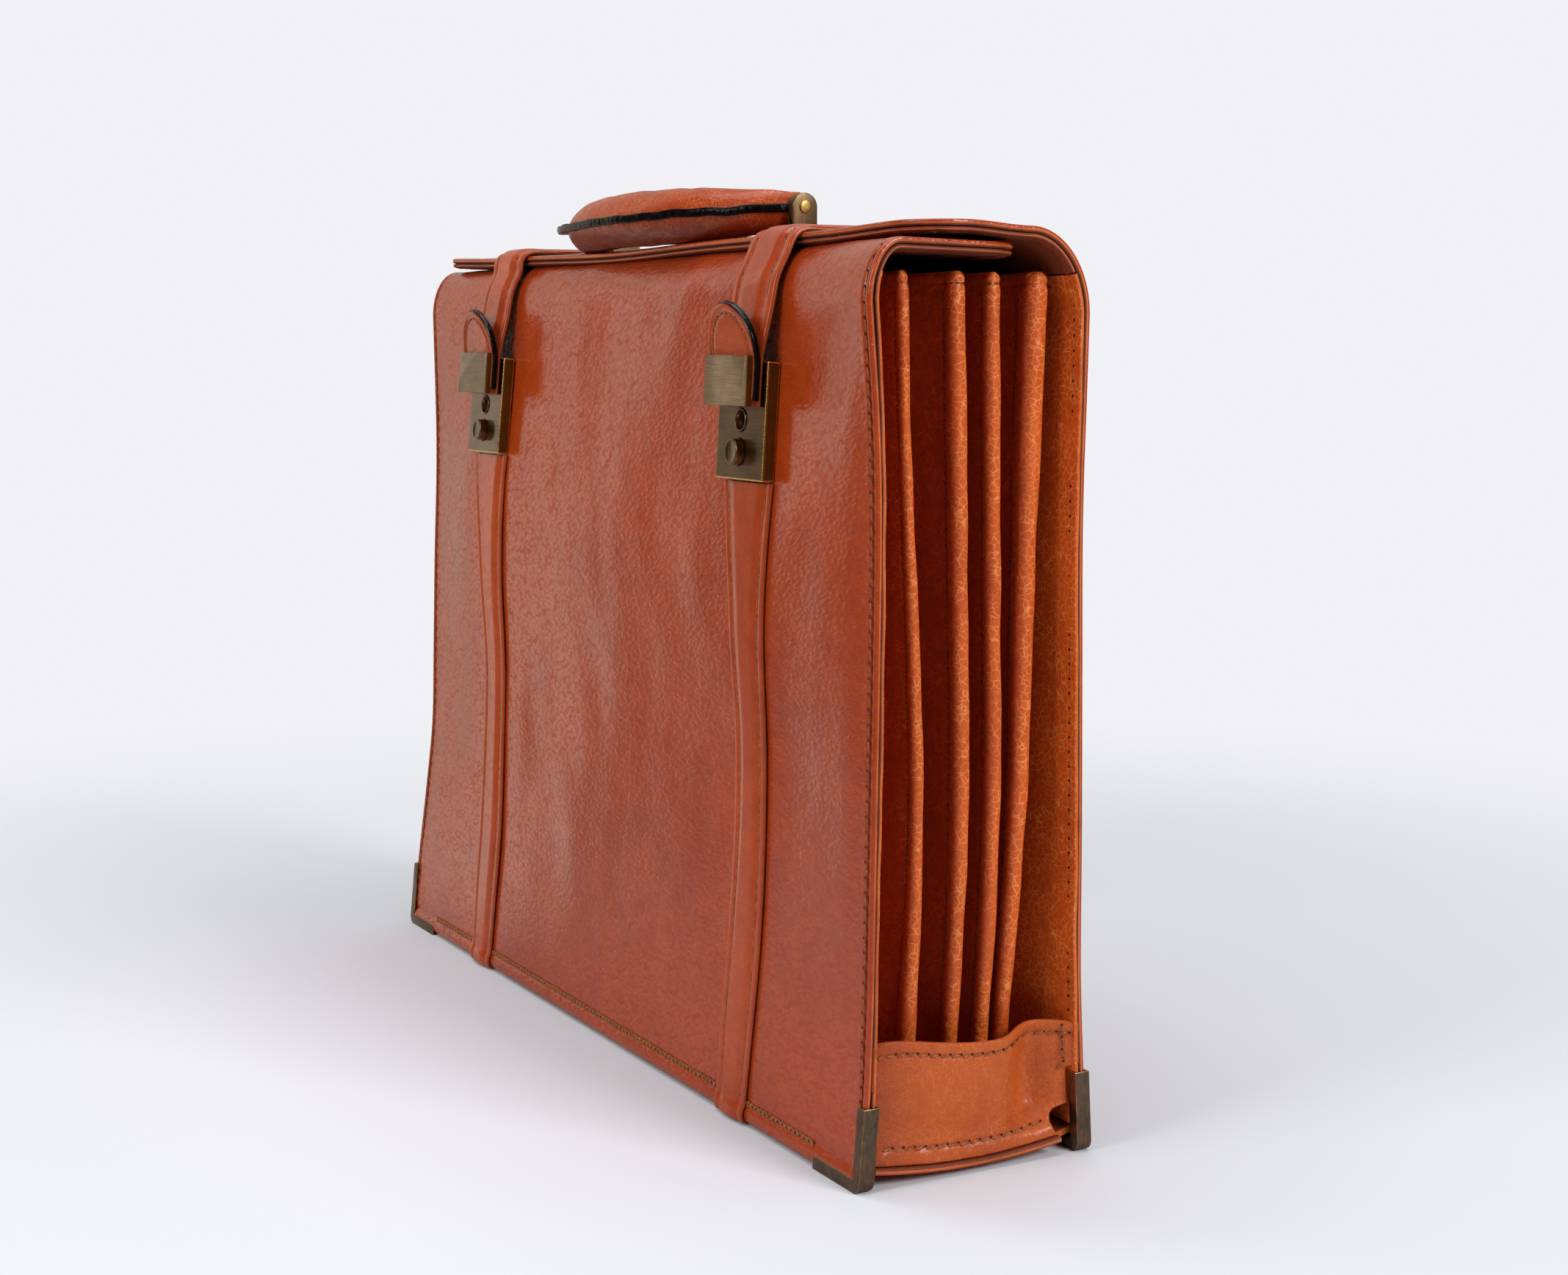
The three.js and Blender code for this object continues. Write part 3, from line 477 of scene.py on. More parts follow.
# %% The bag's section
HALF_DEPTH = 46
PANEL_HALF = 208.9
FOOT = 1.1
FOOT_ROUND = 2.5
FRONT_BEND = {"z": 285, "deep": 12, "high": 20}
BACK_BEND = {"z": 281, "deep": 23, "high": 28.4}
FOLD_EDGE = 18
FOLD_LENGTH = 44
FOLD_DROP = 1.2
FOLD_CORNER = 16
FLAP_EDGE = -25
FLAP_CORNER = 18
FLAP_LIFT = 1.5
FLAP_SAG = 1.6
SAG_X = (-25, 65)
SAG_START = 13
LOCK_X = 119.5
LOCK_ZONE = 18
ENDS = (("left", -1), ("right", 1))
LOCKS = (("left", -LOCK_X), ("right", LOCK_X))
LEAN_Z = [0, 30, 60, 95, 130, 175, 215, 250, 285]
LEAN_FAR = [1.1, 4.0, 7.5, 11.6, 12.9, 14.3, 15.9, 16.3, 16.4]
LEAN_LEFT = [1.1, 3.7, 6.6, 8.7, 10.0, 8.4, 9.0, 12.2, 15.5]
LEAN_RIGHT = [1.1, 3.7, 6.8, 9.2, 10.0, 8.1, 8.8, 10.9, 13.5]
LEAN_NEAR = [1.1, 3.3, 4.0, 4.6, 5.2, 5.9, 6.2, 5.4, 3.2]
BACK_Z = [0, 30, 60, 110, 170, 213, 245, 281]
BACK_IN = [1.1, 2.8, 3.8, 4.3, 5.2, 5.8, 5.4, 5.1]

# %% Lean and bend of the panels
def front_lean(x, z, read=through):
    """How far the front lies in from the bag's half depth."""
    far, left, right, near = (read(z, LEAN_Z, row) for row in (LEAN_FAR, LEAN_LEFT, LEAN_RIGHT, LEAN_NEAR))
    middle = mix(left, right, ease(share(x, LOCK_ZONE - LOCK_X, LOCK_X - LOCK_ZONE)))
    to_far = ease(share(-x, LOCK_X + LOCK_ZONE, PANEL_HALF))
    to_near = ease(share(x, LOCK_X + LOCK_ZONE, PANEL_HALF))
    return mix(mix(middle, far, to_far), near, to_near)


def bend_length(bend):
    """The length of a quarter bend."""
    return math.pi / 2 * math.hypot(bend["deep"], bend["high"]) / math.sqrt(2)


FRONT_RISE = FRONT_BEND["z"] - FOOT
FRONT_TOP = FRONT_RISE + bend_length(FRONT_BEND)
FRONT_END = FRONT_TOP + FOLD_LENGTH
BACK_RISE = BACK_BEND["z"] - FOOT
BACK_TOP = BACK_RISE + bend_length(BACK_BEND)
BACK_REACH = HALF_DEPTH - BACK_IN[-1] - BACK_BEND["deep"]
BACK_END = BACK_TOP + BACK_REACH - FLAP_EDGE

# %% Faces of the panels
def front_face(x, s):
    """The front's outer face, s along the leather from the foot over the bend to the fold's edge."""
    x, s = np.broadcast_arrays(np.asarray(x, float), np.asarray(s, float))
    turn = share(s, FRONT_RISE, FRONT_TOP) * math.pi / 2
    rise = FOOT + np.minimum(s, FRONT_RISE)
    start = -HALF_DEPTH + front_lean(x, rise) + FRONT_BEND["deep"] * (1 - np.cos(turn))
    along = share(s, FRONT_TOP, FRONT_END)
    y = mix(start, FOLD_EDGE, along)
    z = rise + FRONT_BEND["high"] * np.sin(turn) - FOLD_DROP * along
    return np.stack([x, y, z], -1)


def back_face(x, s):
    """The back's outer face and the flap, s along the leather from the foot to the flap's edge."""
    x, s = np.broadcast_arrays(np.asarray(x, float), np.asarray(s, float))
    turn = share(s, BACK_RISE, BACK_TOP) * math.pi / 2
    rise = FOOT + np.minimum(s, BACK_RISE)
    past = np.maximum(0, s - BACK_TOP)
    y = HALF_DEPTH - through(rise, BACK_Z, BACK_IN) - BACK_BEND["deep"] * (1 - np.cos(turn)) - past
    lift = FLAP_LIFT * ease(share(np.abs(x), LOCK_X + LOCK_ZONE, PANEL_HALF))
    flap = BACK_REACH - FLAP_EDGE
    z = rise + BACK_BEND["high"] * np.sin(turn) + lift * ease(share(past, 0, flap - FLAP_CORNER))
    sag = FLAP_SAG * hill(x, *SAG_X) * ease(share(past, BACK_REACH + SAG_START, flap))
    return np.stack([x, y, z - sag], -1)


def front_y(x, z, read=through):
    """Where the front's outer face lies at a height."""
    rise = share(z, FRONT_BEND["z"], FRONT_BEND["z"] + FRONT_BEND["high"])
    bend = FRONT_BEND["deep"] * (1 - np.sqrt(1 - rise * rise))
    return -HALF_DEPTH + front_lean(x, z, read) + bend


def back_y(z):
    """Where the back's outer face lies at a height."""
    rise = share(z, BACK_BEND["z"], BACK_BEND["z"] + BACK_BEND["high"])
    return HALF_DEPTH - through(z, BACK_Z, BACK_IN) - BACK_BEND["deep"] * (1 - np.sqrt(1 - rise * rise))


print("front leather", round(FRONT_END), "mm, back leather", round(BACK_END), "mm from foot to edge")

# %% [markdown]
# ## Working leather
# A sheet starts as a grid primitive. Its corners are moved to their places on the bag, as if the hide
# were wrapped by hand. Solidify then gives the hide its thickness, with the cut edge as a finish of its
# own. Last, both faces sink towards each other at the edge, as a burnished cut does, by their distance
# from it.

# %% Sheet helpers
BRIM = (0, 0.12, 0.35, 0.7)


def unit(rows):
    """The same directions, each one long."""
    return rows / np.maximum(1e-9, np.linalg.norm(rows, axis=-1, keepdims=True))


def run_length(points):
    """How far along a path each of its points is."""
    return np.concatenate([[0], np.cumsum(np.linalg.norm(np.diff(points, axis=0), axis=1))])


def angles(start, stop, steps):
    """Even steps between two angles in degrees, as radians."""
    return np.radians(np.linspace(start, stop, steps))


def outward(spots):
    """The unit normals of a sheet's spots."""
    return unit(np.cross(np.gradient(spots, axis=1), np.gradient(spots, axis=0)))

# %% Sheets from a grid
def select_only(*pieces):
    """Selects these pieces and no others, and makes the last one active."""
    bpy.ops.object.select_all(action="DESELECT")
    for piece in pieces:
        piece.select_set(True)
    bpy.context.view_layer.objects.active = pieces[-1]


def apply_modifier(piece, kind, **settings):
    """Adds a modifier with these settings and applies it."""
    select_only(piece)
    modifier = piece.modifiers.new(kind.lower(), kind)
    for name, value in settings.items():
        setattr(modifier, name, value)
    bpy.ops.object.modifier_apply(modifier=modifier.name)


def move_corners(piece, spots):
    """Moves a mesh's corners, in their order, to these spots."""
    piece.data.vertices.foreach_set("co", ((spots.reshape(-1, 3) + (0, SHIFT_Y, 0)) * MM).ravel())
    piece.data.update()


def lay(name, spots):
    """A grid primitive with its corners moved to these spots: rows of columns of x, y, z."""
    rows, columns = spots.shape[:2]
    bpy.ops.object.select_all(action="DESELECT")
    bpy.ops.mesh.primitive_grid_add(x_subdivisions=columns - 1, y_subdivisions=rows - 1, size=1)
    piece = bpy.context.object
    piece.name = name
    move_corners(piece, spots)
    return piece

# %% Hides
def rim_distance(spots, axes=(0, 1)):
    """How far each spot is from a sheet's edges, along its rows and columns."""
    found = []
    for axis in axes:
        steps = np.linalg.norm(np.diff(spots, axis=axis), axis=-1)
        before = np.insert(np.cumsum(steps, axis=axis), 0, 0, axis=axis)
        found.append(np.minimum(before, before.take([-1], axis=axis) - before))
    return np.minimum.reduce(found)


def hide(name, spots, thick, face, inside, corner=0.75, back=LINING_TAN, edge=CUT_EDGE):
    """A sheet with its thickness inwards, round cut edges, and finishes for face, back and edge."""
    drop = corner - np.sqrt(corner**2 - np.clip(corner - inside, 0, corner) ** 2)
    inward = -outward(spots)
    piece = lay(name, spots)
    for finish in (face, back, edge):
        piece.data.materials.append(finish)
    apply_modifier(piece, "SOLIDIFY", thickness=thick * MM, offset=-1,
                   material_offset=1, material_offset_rim=2)
    over = spots + inward * drop[..., None]
    under = spots + inward * (thick - drop)[..., None]
    move_corners(piece, np.stack([over, under]))
    bpy.ops.object.shade_smooth_by_angle(angle=math.radians(50))
    return piece


def paint_shade_mask(piece, values):
    """Stores the painted shade, 0 where a hide is darkest and 1 where it keeps its colour, corner by
    corner.
    """
    ridge = piece.data.attributes.new("ridge", "FLOAT", "POINT")
    ridge.data.foreach_set("value", values)


def belongs(piece, node, body="bag"):
    """The piece stands for a solid, which is hidden, and rides on its body."""
    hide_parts(node)
    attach(piece, body)
    print(piece.name, len(piece.data.polygons), "faces")

# %% Rows and waves
def spaced(marks, step):
    """The marks, with more between them where they are further apart than a step."""
    def run(low, high):
        return np.linspace(low, high, max(1, math.ceil((high - low) / step)), endpoint=False)

    return np.concatenate([*(run(a, b) for a, b in zip(marks, marks[1:])), marks[-1:]])


def waves(spots, size, high, seed):
    """Slow unevenness, in mm, along a sheet."""
    def at(spot):
        return noise.noise(Vector((spot[0] / size + seed, spot[1] / size, spot[2] / size / 1.7)))

    return high * np.apply_along_axis(at, -1, spots)


# %% [markdown]
# ## Front and back leather
# The front is one hide: up the face, over a bend, and back as a flat fold. The back does the same and
# ends as the flap. Both are sewn all round: a thread pulls a groove into the leather a few millimetres
# inside its edge, and the rim outside the groove stays puffed. Along the foot the hide is rolled and
# sewn with a thick thread.

# %% Panel shapes
HIDE = 2.1
SEAM = 3.2
ROLL_SEAM = 6.6
EDGE_MARKS = np.array([*BRIM, 1.3, 2.0, 2.6, 3.2, 3.8, 4.6, 6, 8])
FACE_STEP = 3.3
BEND_STEP = 2.2


def edge_distance(x, s, end, corner):
    """How far a spot is from a panel's free edge: two sides and a top with round corners."""
    across = np.abs(x) - (PANEL_HALF - corner)
    up = s - (end - corner)
    outside = np.hypot(np.maximum(across, 0), np.maximum(up, 0))
    return corner - outside - np.minimum(np.maximum(across, up), 0)


def half_length(s, end, corner):
    """Half of a panel's length, which is shorter at its round corners."""
    over = np.maximum(0, s - (end - corner))
    top = PANEL_HALF - corner + np.sqrt(np.maximum(0, corner**2 - over**2))
    return top - FOOT_ROUND * (1 - share(s, 0, FOOT_ROUND)) ** 2


def panel_spots(face, s, end, corner, side, seed):
    """A panel's spots, with seam groove, puffed rim, rolled foot and slow waves."""
    columns = spaced(np.concatenate([EDGE_MARKS - PANEL_HALF, (PANEL_HALF - EDGE_MARKS)[::-1]]), FACE_STEP)
    s = s[:, None]
    x = side * columns[None, :] / PANEL_HALF * half_length(s, end, corner)
    spots = face(x, s)
    inside = edge_distance(x, s, end, corner)
    rise = 0.2 * hill(inside, 1.2, 1.0) + 0.15 * hill(inside, SEAM + 1.6, 1.2)
    rise = rise - 0.6 * hill(inside, SEAM, 0.55)
    roll = 0.9 * np.sin(math.pi * share(s, 0, ROLL_SEAM - 0.4)) - 0.4 * hill(s, ROLL_SEAM + 0.3, 0.8)
    calm = share(inside, 4, 30) * share(s, 12, 40)
    wave = (waves(spots, 46, 0.55, seed) + waves(spots, 20, 0.22, seed + 7)) * calm
    upright = share(s, 15, 60) * (1 - share(s, FRONT_RISE - 50, FRONT_RISE))
    wave = wave - 0.8 * ease(share(np.abs(x), PANEL_HALF - 23, PANEL_HALF - 1)) * upright
    return spots + outward(spots) * (rise + roll + wave)[..., None], np.minimum(inside, s)


def rows_up(end, corner):
    """Where a panel's rows lie along the leather, close together at its foot and at its free edge."""
    foot = [0, 0.12, 0.35, 0.8, 1.6, 2.5, 3.6, 4.8, 5.8, 6.4, 7.0, 7.8]
    face = spaced([9, FRONT_RISE], FACE_STEP)[:-1]
    bend = spaced([FRONT_RISE, end - corner], BEND_STEP)
    edge = end - np.array([corner * 0.75, corner * 0.55, *EDGE_MARKS[-2::-1]])
    return np.concatenate([foot, face, bend, edge])

# %% Front and back panels
front_rows = rows_up(FRONT_END, FOLD_CORNER)
back_rows = rows_up(BACK_END, FLAP_CORNER)
front_spots, front_inside = panel_spots(front_face, front_rows, FRONT_END, FOLD_CORNER, 1, 3.1)
back_spots, back_inside = panel_spots(back_face, back_rows, BACK_END, FLAP_CORNER, -1, 8.4)
front = hide("front_leather", front_spots, HIDE, TAN, front_inside)
belongs(front, "front_panel")
back = hide("back_leather", back_spots, HIDE, TAN, back_inside)
belongs(back, "back_panel")

# %% [markdown]
# ## Linings
# Under the fold and under the flap lies a second hide, and the two edges show as a double line with a
# dark gap. The same spots are moved inwards along their normals by the outer hide's thickness.

# %% Fold and flap linings
LINING = 1.5
LINING_GAP = 0.25
FOLD_START = 0.29
FLAP_START = 0.325


def lining(name, spots, inside, kept, node):
    """The inner layer of a panel, in the rows that are kept."""
    inner = spots - outward(spots) * (HIDE + LINING_GAP)
    piece = hide(name, inner[kept], LINING, LINING_TAN, inside[kept], 0.6)
    belongs(piece, node)


fold_kept = front_rows >= mix(FRONT_RISE, FRONT_TOP, FOLD_START)
flap_kept = back_rows >= mix(BACK_RISE, BACK_TOP, FLAP_START)
lining("fold_inner", front_spots, front_inside, fold_kept, "fold_lining")
lining("flap_inner", back_spots, back_inside, flap_kept, "flap_lining")

# %% [markdown]
# ## Pleated ends
# Each end is one soft hide in accordion folds: four ribs stand out between the panels, and a flange lies
# along each panel. A cross-section is drawn at each height, straight sides with round ridges and
# valleys, and the rows of sections make the sheet. At the top each rib is pinched shut and sewn across.

# %% Pleat sections
PLEAT = 1.5
VALLEY_X = 172
VALLEY_TURN = 1.2
FLANGE_X = 190
RIB_Z = [9, 30, 60, 95, 130, 175, 215, 250, 285, 294.5]
RIB_RIDGE = [190, 191.5, 195, 198.3, 200, 200, 200, 200, 200, 200]
RIB_Y = [
    [-15.8, -16.2, -16.8, -17.4, -18.0, -19.8, -22.0, -23.7, -24.7, -25.0],
    [0.9, 0.6, 0.2, -0.3, -0.8, -1.5, -2.4, -3.1, -3.9, -4.0],
    [12.4, 12.6, 12.5, 12.2, 11.9, 11.3, 10.7, 10.1, 9.6, 9.5],
    [21.2, 20.9, 20.8, 21.6, 22.4, 23.5, 24.6, 25.7, 26.8, 27.0],
]
RIB_HALF = [
    [3.1, 3.1, 3.0, 2.5, 2.4, 2.2, 2.0, 2.0, 2.1, 2.1],
    [3.0, 3.0, 3.0, 3.0, 3.1, 3.1, 3.2, 3.3, 3.3, 3.3],
    [2.7, 2.8, 2.9, 2.9, 2.9, 2.9, 2.9, 2.9, 2.9, 2.9],
    [2.7, 2.8, 2.9, 3.1, 3.3, 3.6, 3.9, 4.2, 4.3, 4.3],
]
RIB_TOP = 294.5
RIDGE_SHADE = (-6, -2.5)
NECK = 0.8
PINCH = 291.3
FLANGE_IN = HIDE + 0.25 + PLEAT / 2


def rib_at(end, k, z):
    """A rib's middle, half width and ridge at a height, squeezed between the panels at the far end."""
    near = front_y(PANEL_HALF, z)
    back = back_y(z)
    part = share(through(z, RIB_Z, RIB_Y[k]), near, back)
    middle = mix(front_y(end * PANEL_HALF, z), back, part)
    cap = np.sqrt(np.maximum(0.06, 1 - share(z, PINCH + 0.6, RIB_TOP) ** 2))
    pinch = 1 - 0.22 * hill(z, PINCH, 0.9)
    half = (through(z, RIB_Z, RIB_HALF[k]) - PLEAT / 2) * cap * pinch
    ridge = through(z, RIB_Z, RIB_RIDGE) - 1.6 * (1 - cap) - 0.5 * hill(z, PINCH, 0.9)
    return middle, half, ridge


def pleat_section(end, z):
    """Points along the folded hide at a height: x measured outwards, and y."""
    def flange(x, side):
        return front_y(end * x, z) + FLANGE_IN if side < 0 else back_y(z) - FLANGE_IN

    xs = PANEL_HALF - np.array([*BRIM, 2, 4, 8, 13, PANEL_HALF - FLANGE_X])
    line = [(x, float(flange(x, -1))) for x in xs]

    def valley(y):
        for a in angles(-90, 90, 5):
            line.append((VALLEY_X + VALLEY_TURN * (1 - math.cos(a)), y + VALLEY_TURN * math.sin(a)))

    def between(first, second):
        for t in (0.25, 0.5, 0.75, 1.0):
            line.append((mix(first[0], second[0], t), mix(first[1], second[1], t)))

    ribs = [tuple(float(v) for v in rib_at(end, k, z)) for k in range(len(RIB_Y))]
    fronts = [middle - half for middle, half, ridge in ribs] + [float(flange(VALLEY_X, 1))]
    previous = float(flange(VALLEY_X, -1)) + VALLEY_TURN
    for k, (middle, half, ridge) in enumerate(ribs):
        valley((previous + fronts[k]) / 2)
        neck = ridge - 2.4 * half
        between(line[-1], (neck, middle - half + NECK))
        for a in angles(-90, 90, 11):
            line.append((ridge - half + half * math.cos(a), middle + half * math.sin(a)))
        previous = middle + half
        line.append((neck, previous - NECK))
        between(line[-1], (VALLEY_X + VALLEY_TURN, (previous + fronts[k + 1]) / 2 - VALLEY_TURN))
        line.pop()
    valley((previous + float(flange(VALLEY_X, 1))) / 2)
    line.extend((x, float(flange(x, 1))) for x in xs[::-1])
    return np.array(line)

# %% Pleated ends
PINCH_ROWS = [288, 289.6, 290.5, 291.3, 292.1, 292.9, 293.6, 294.1, 294.5]
PLEAT_ROWS = np.concatenate([spaced([9, 286], 3.6), PINCH_ROWS])

for side, end in ENDS:
    sections = [pleat_section(end, z) for z in PLEAT_ROWS]
    spots = np.array([[(end * x, y, z) for x, y in line] for line, z in zip(sections, PLEAT_ROWS)])
    spots = spots[:, ::end]
    soft = waves(spots, 13, 0.5, 20 + end) * share(PLEAT_ROWS, 10, 40)[:, None]
    spots = spots + outward(spots) * (soft + PLEAT / 2)[..., None]
    pleats = hide("pleats_" + side, spots, PLEAT, PLEAT_TAN, rim_distance(spots, (1,)), 0.45)
    # Painted shade: the ribs darken from the ridge into the valleys, each rib's flank facing the front is
    # darker, and the flanges beside the panels stay lit.
    painted_light = ease(share(np.abs(spots[..., 0]) - through(spots[..., 2], RIB_Z, RIB_RIDGE), *RIDGE_SHADE))
    sheet_y, sheet_z = spots[..., 1], spots[..., 2]
    for k in range(len(RIB_Y)):
        middle, half, _ = rib_at(end, k, sheet_z)
        t = (sheet_y - middle) / (half + PLEAT / 2)
        painted_light = np.where(np.abs(t) < 1.3, painted_light * ease(share(t, -1.15, -0.2)), painted_light)
    beside = np.minimum(back_y(sheet_z) - sheet_y, sheet_y - front_y(spots[..., 0], sheet_z))
    paint_shade_mask(pleats, np.tile(np.maximum(painted_light, beside < 5).ravel(), 2))
    belongs(pleats, "gusset_" + side)

# %% [markdown]
# ## Boots and floor
# A boot is a band of leather across each end's foot. Its top edge waves, it is pushed in near the back,
# and its foot flares into a lip that is sewn to the floor. Near the back it is cut away round the corner
# guard. The floor sags a little between front and back, and its ends are the lower layer of the lip.

# %% Boot shapes
BASE_LOW = 4.4
BASE_SAG = 3.6
BASE_HALF = 41
BASE_THICK = 2.2
BOOT_HIDE = 1.9
BOOT_FACE = 207
BOOT_LIP = 209.2
BOOT_Y = [-46, -26, -12, 4, 13, 22, 30, 38, 46]
BOOT_TOP = [48.5, 47.5, 45, 43, 43, 44.8, 45.6, 45.5, 44.5]
BOOT_HIGH = 38
BOOT_WIDE = 80
BOOT_SEAM = 4.3
LIP_SEAM = 5.2
DENT_Y = 26
CUT_BACK_Y = 31.3
CUT_HIGH = 16.4
GUARD_TOP = 28.6


def floor_top(y):
    """The height of the floor, which sags between front and back."""
    return BASE_LOW + BASE_SAG * (y / BASE_HALF) ** 2


def boot_face(end, u, rise):
    """A boot's outer face, u from front to back and rise from the lip to the top edge."""
    u, rise = np.broadcast_arrays(np.asarray(u, float), np.asarray(rise, float))
    z_guess = mix(8.0, 45.5, rise)
    above = ease(share(z_guess, GUARD_TOP, GUARD_TOP + 3))
    front_end = front_y(end * BOOT_FACE, z_guess) + mix(5.4, HIDE + 0.15, above)
    back_end = back_y(z_guess) - mix(4.7, HIDE + 0.15, above)
    arch_part = share(z_guess, CUT_HIGH - 4, CUT_HIGH)
    cut = CUT_BACK_Y + 2.0 * (1 - share(z_guess, 8, CUT_HIGH - 3)) ** 2
    cut = cut + 3.5 * (1 - np.sqrt(1 - arch_part**2))
    back_end = np.where(z_guess < CUT_HIGH, np.minimum(back_end, cut), back_end)
    y = mix(front_end, back_end, u)
    z = mix(floor_top(y) + 0.3, through(y, BOOT_Y, BOOT_TOP), rise)
    dent = 9.0 * hill(y, DENT_Y, 8) * np.sin(math.pi * np.minimum(1, 0.12 + 0.7 * rise))
    out = mix(BOOT_LIP, BOOT_FACE - dent, ease(share(rise, 0.04, 0.30)))
    bulge = 1.2 * np.sin(math.pi * share(rise, 0.2, 0.9)) * np.sin(math.pi * share(u, 0, 0.7))
    to_edge = above * (1 - share(np.minimum(y - front_end, back_end - y), 0.3, 6)) ** 1.5
    return np.stack([end * mix(out - 1.2 + bulge, PANEL_HALF + 0.3, to_edge), y, z], -1)


def boot_spots(end):
    """A boot's outer face with its seams pressed in and its leather puckered."""
    edge = np.array([*BRIM, 1.4, 2.2]) / BOOT_HIGH
    face = [np.linspace(0.08, 0.30, 12), np.linspace(0.32, 0.82, 22), np.linspace(0.84, 0.93, 6)]
    rise = np.concatenate([edge, *face, 1 - edge[::-1]])[:, None]
    brim = np.array(BRIM) / BOOT_WIDE
    u = np.concatenate([brim, np.linspace(0.015, 0.985, 90), 1 - brim[::-1]])[None, :]
    spots = boot_face(end, u, rise)[:, ::end]
    below_top = (1 - rise) * BOOT_HIGH
    top_seam = 0.2 * hill(below_top, 2, 1.4) - 0.4 * hill(below_top, BOOT_SEAM, 0.7)
    seam = top_seam - 0.3 * hill(rise * BOOT_HIGH, LIP_SEAM, 0.8)
    puckers = waves(spots, 5, 0.9, 41) * share(-spots[..., 1], -10, 30) * hill(rise, 0.3, 0.35)
    swell = waves(spots, 17, 0.5, 44) * share(below_top, 3, 12)
    return spots + outward(spots) * (seam + puckers + swell)[..., None]

# %% Boots
for side, end in ENDS:
    spots = boot_spots(end)
    boot = hide("boot_band_" + side, spots, BOOT_HIDE, BOOT_TAN, rim_distance(spots))
    # Painted shadow of the front panel, with dirt: the boot darkens towards its front end.
    paint_shade_mask(boot, np.tile(0.3 + 0.7 * ease(share(spots[..., 1], -44, -14)).ravel(), 2))
    belongs(boot, "boot_" + side)

# %% Floor
NOTCH_X = 205.2
floor_end = np.array([209.2, 209.08, 208.85, 208.5, 207, NOTCH_X, 203.7, 140, 70])
floor_x = np.concatenate([-floor_end, [0], floor_end[::-1]])
inset = np.where(np.abs(floor_x) >= NOTCH_X, 5.4, 2.4)
floor_front = front_y(floor_x, 8.0) + inset
floor_back = np.where(np.abs(floor_x) >= NOTCH_X, CUT_BACK_Y + 2.5, back_y(8.0) - inset)
part = np.linspace(0, 1, 25)[:, None]
floor_y = mix(floor_front, floor_back, part)
floor_spots = np.stack([np.broadcast_to(floor_x, floor_y.shape), floor_y, floor_top(floor_y)], -1)
floor_rim = rim_distance(floor_spots, (1,))
base = hide("floor_leather", floor_spots, BASE_THICK, LINING_TAN, floor_rim, back=TAN)
belongs(base, "base")

# %% [markdown]
# ## Straps
# A lower strap is sewn to the front from the foot to the lock. An upper strap runs from the hasp over the
# flap's edge, across the top and down the back. Both have a filler under the middle, so they are raised
# between their two seams. Across a strap, f runs from -0.5 to 0.5.

# %% Strap shapes
STRAP = 2.0
LOW_STRAP = 1.5
STRAP_GAP = 0.3
STRAP_Z = [1.1, 30, 150, 185, 205, 224.9]
STRAP_WIDE = [21, 23, 23, 26, 30, 35]
TOP_WIDE = 30
LOW_SEAM = 3.6
TOP_SEAM = 4.6
LOCK_Z = 225.4
LOCK_HIGH = 40.7
LOCK_THICK = 5
HASP_LOW = 25.2
TAB_TOP = 60
STRAP_ROWS = 300


def crown(inside, seam, high):
    """How far a strap stands up, by the distance from its edge: raised inside the seam, sunk at it."""
    raised = high * ease(share(inside, seam, seam + 3.5)) + 0.12 * hill(inside, seam - 1.6, 1)
    return raised - 0.35 * hill(inside, seam, 0.55)


def across(wide, seam):
    """Columns of a strap, closer together at its seams."""
    half = [*BRIM, 1.3, seam - 1.2, seam - 0.6, seam, seam + 0.6, seam + 1.3, seam + 3]
    marks = np.array(half) - wide / 2
    return spaced(np.concatenate([marks, -marks[::-1]]), 2.0) / wide


def low_strap_face(x, f, z):
    """A lower strap's outer face, f from -0.5 to 0.5 across."""
    f, z = np.broadcast_arrays(np.asarray(f, float), np.asarray(z, float))
    wide = through(z, STRAP_Z, STRAP_WIDE)
    place = x + f * wide
    roll = 0.9 * np.sin(math.pi * share(z - FOOT, 0, ROLL_SEAM - 0.4))
    y = front_y(place, z) - LOW_STRAP - roll - crown((0.5 - np.abs(f)) * wide, LOW_SEAM, 0.7)
    return np.stack([place, y, z], -1)

# %% Line of an upper strap
def lock_slope(x):
    """The y of a lock's foot, and the lock's lean."""
    foot = float(front_y(x, LOCK_Z, np.interp)) - STRAP_GAP
    rise = float(front_y(x, LOCK_Z + LOCK_HIGH, np.interp)) - STRAP_GAP - foot
    return foot, math.atan2(rise, LOCK_HIGH)


def on_lock(x, up, out):
    """The y and z of a spot on a lock, up along it and out from the front."""
    foot, lean = lock_slope(x)
    y = foot + up * math.sin(lean) - out * math.cos(lean)
    return y, LOCK_Z + up * math.cos(lean) + out * math.sin(lean)


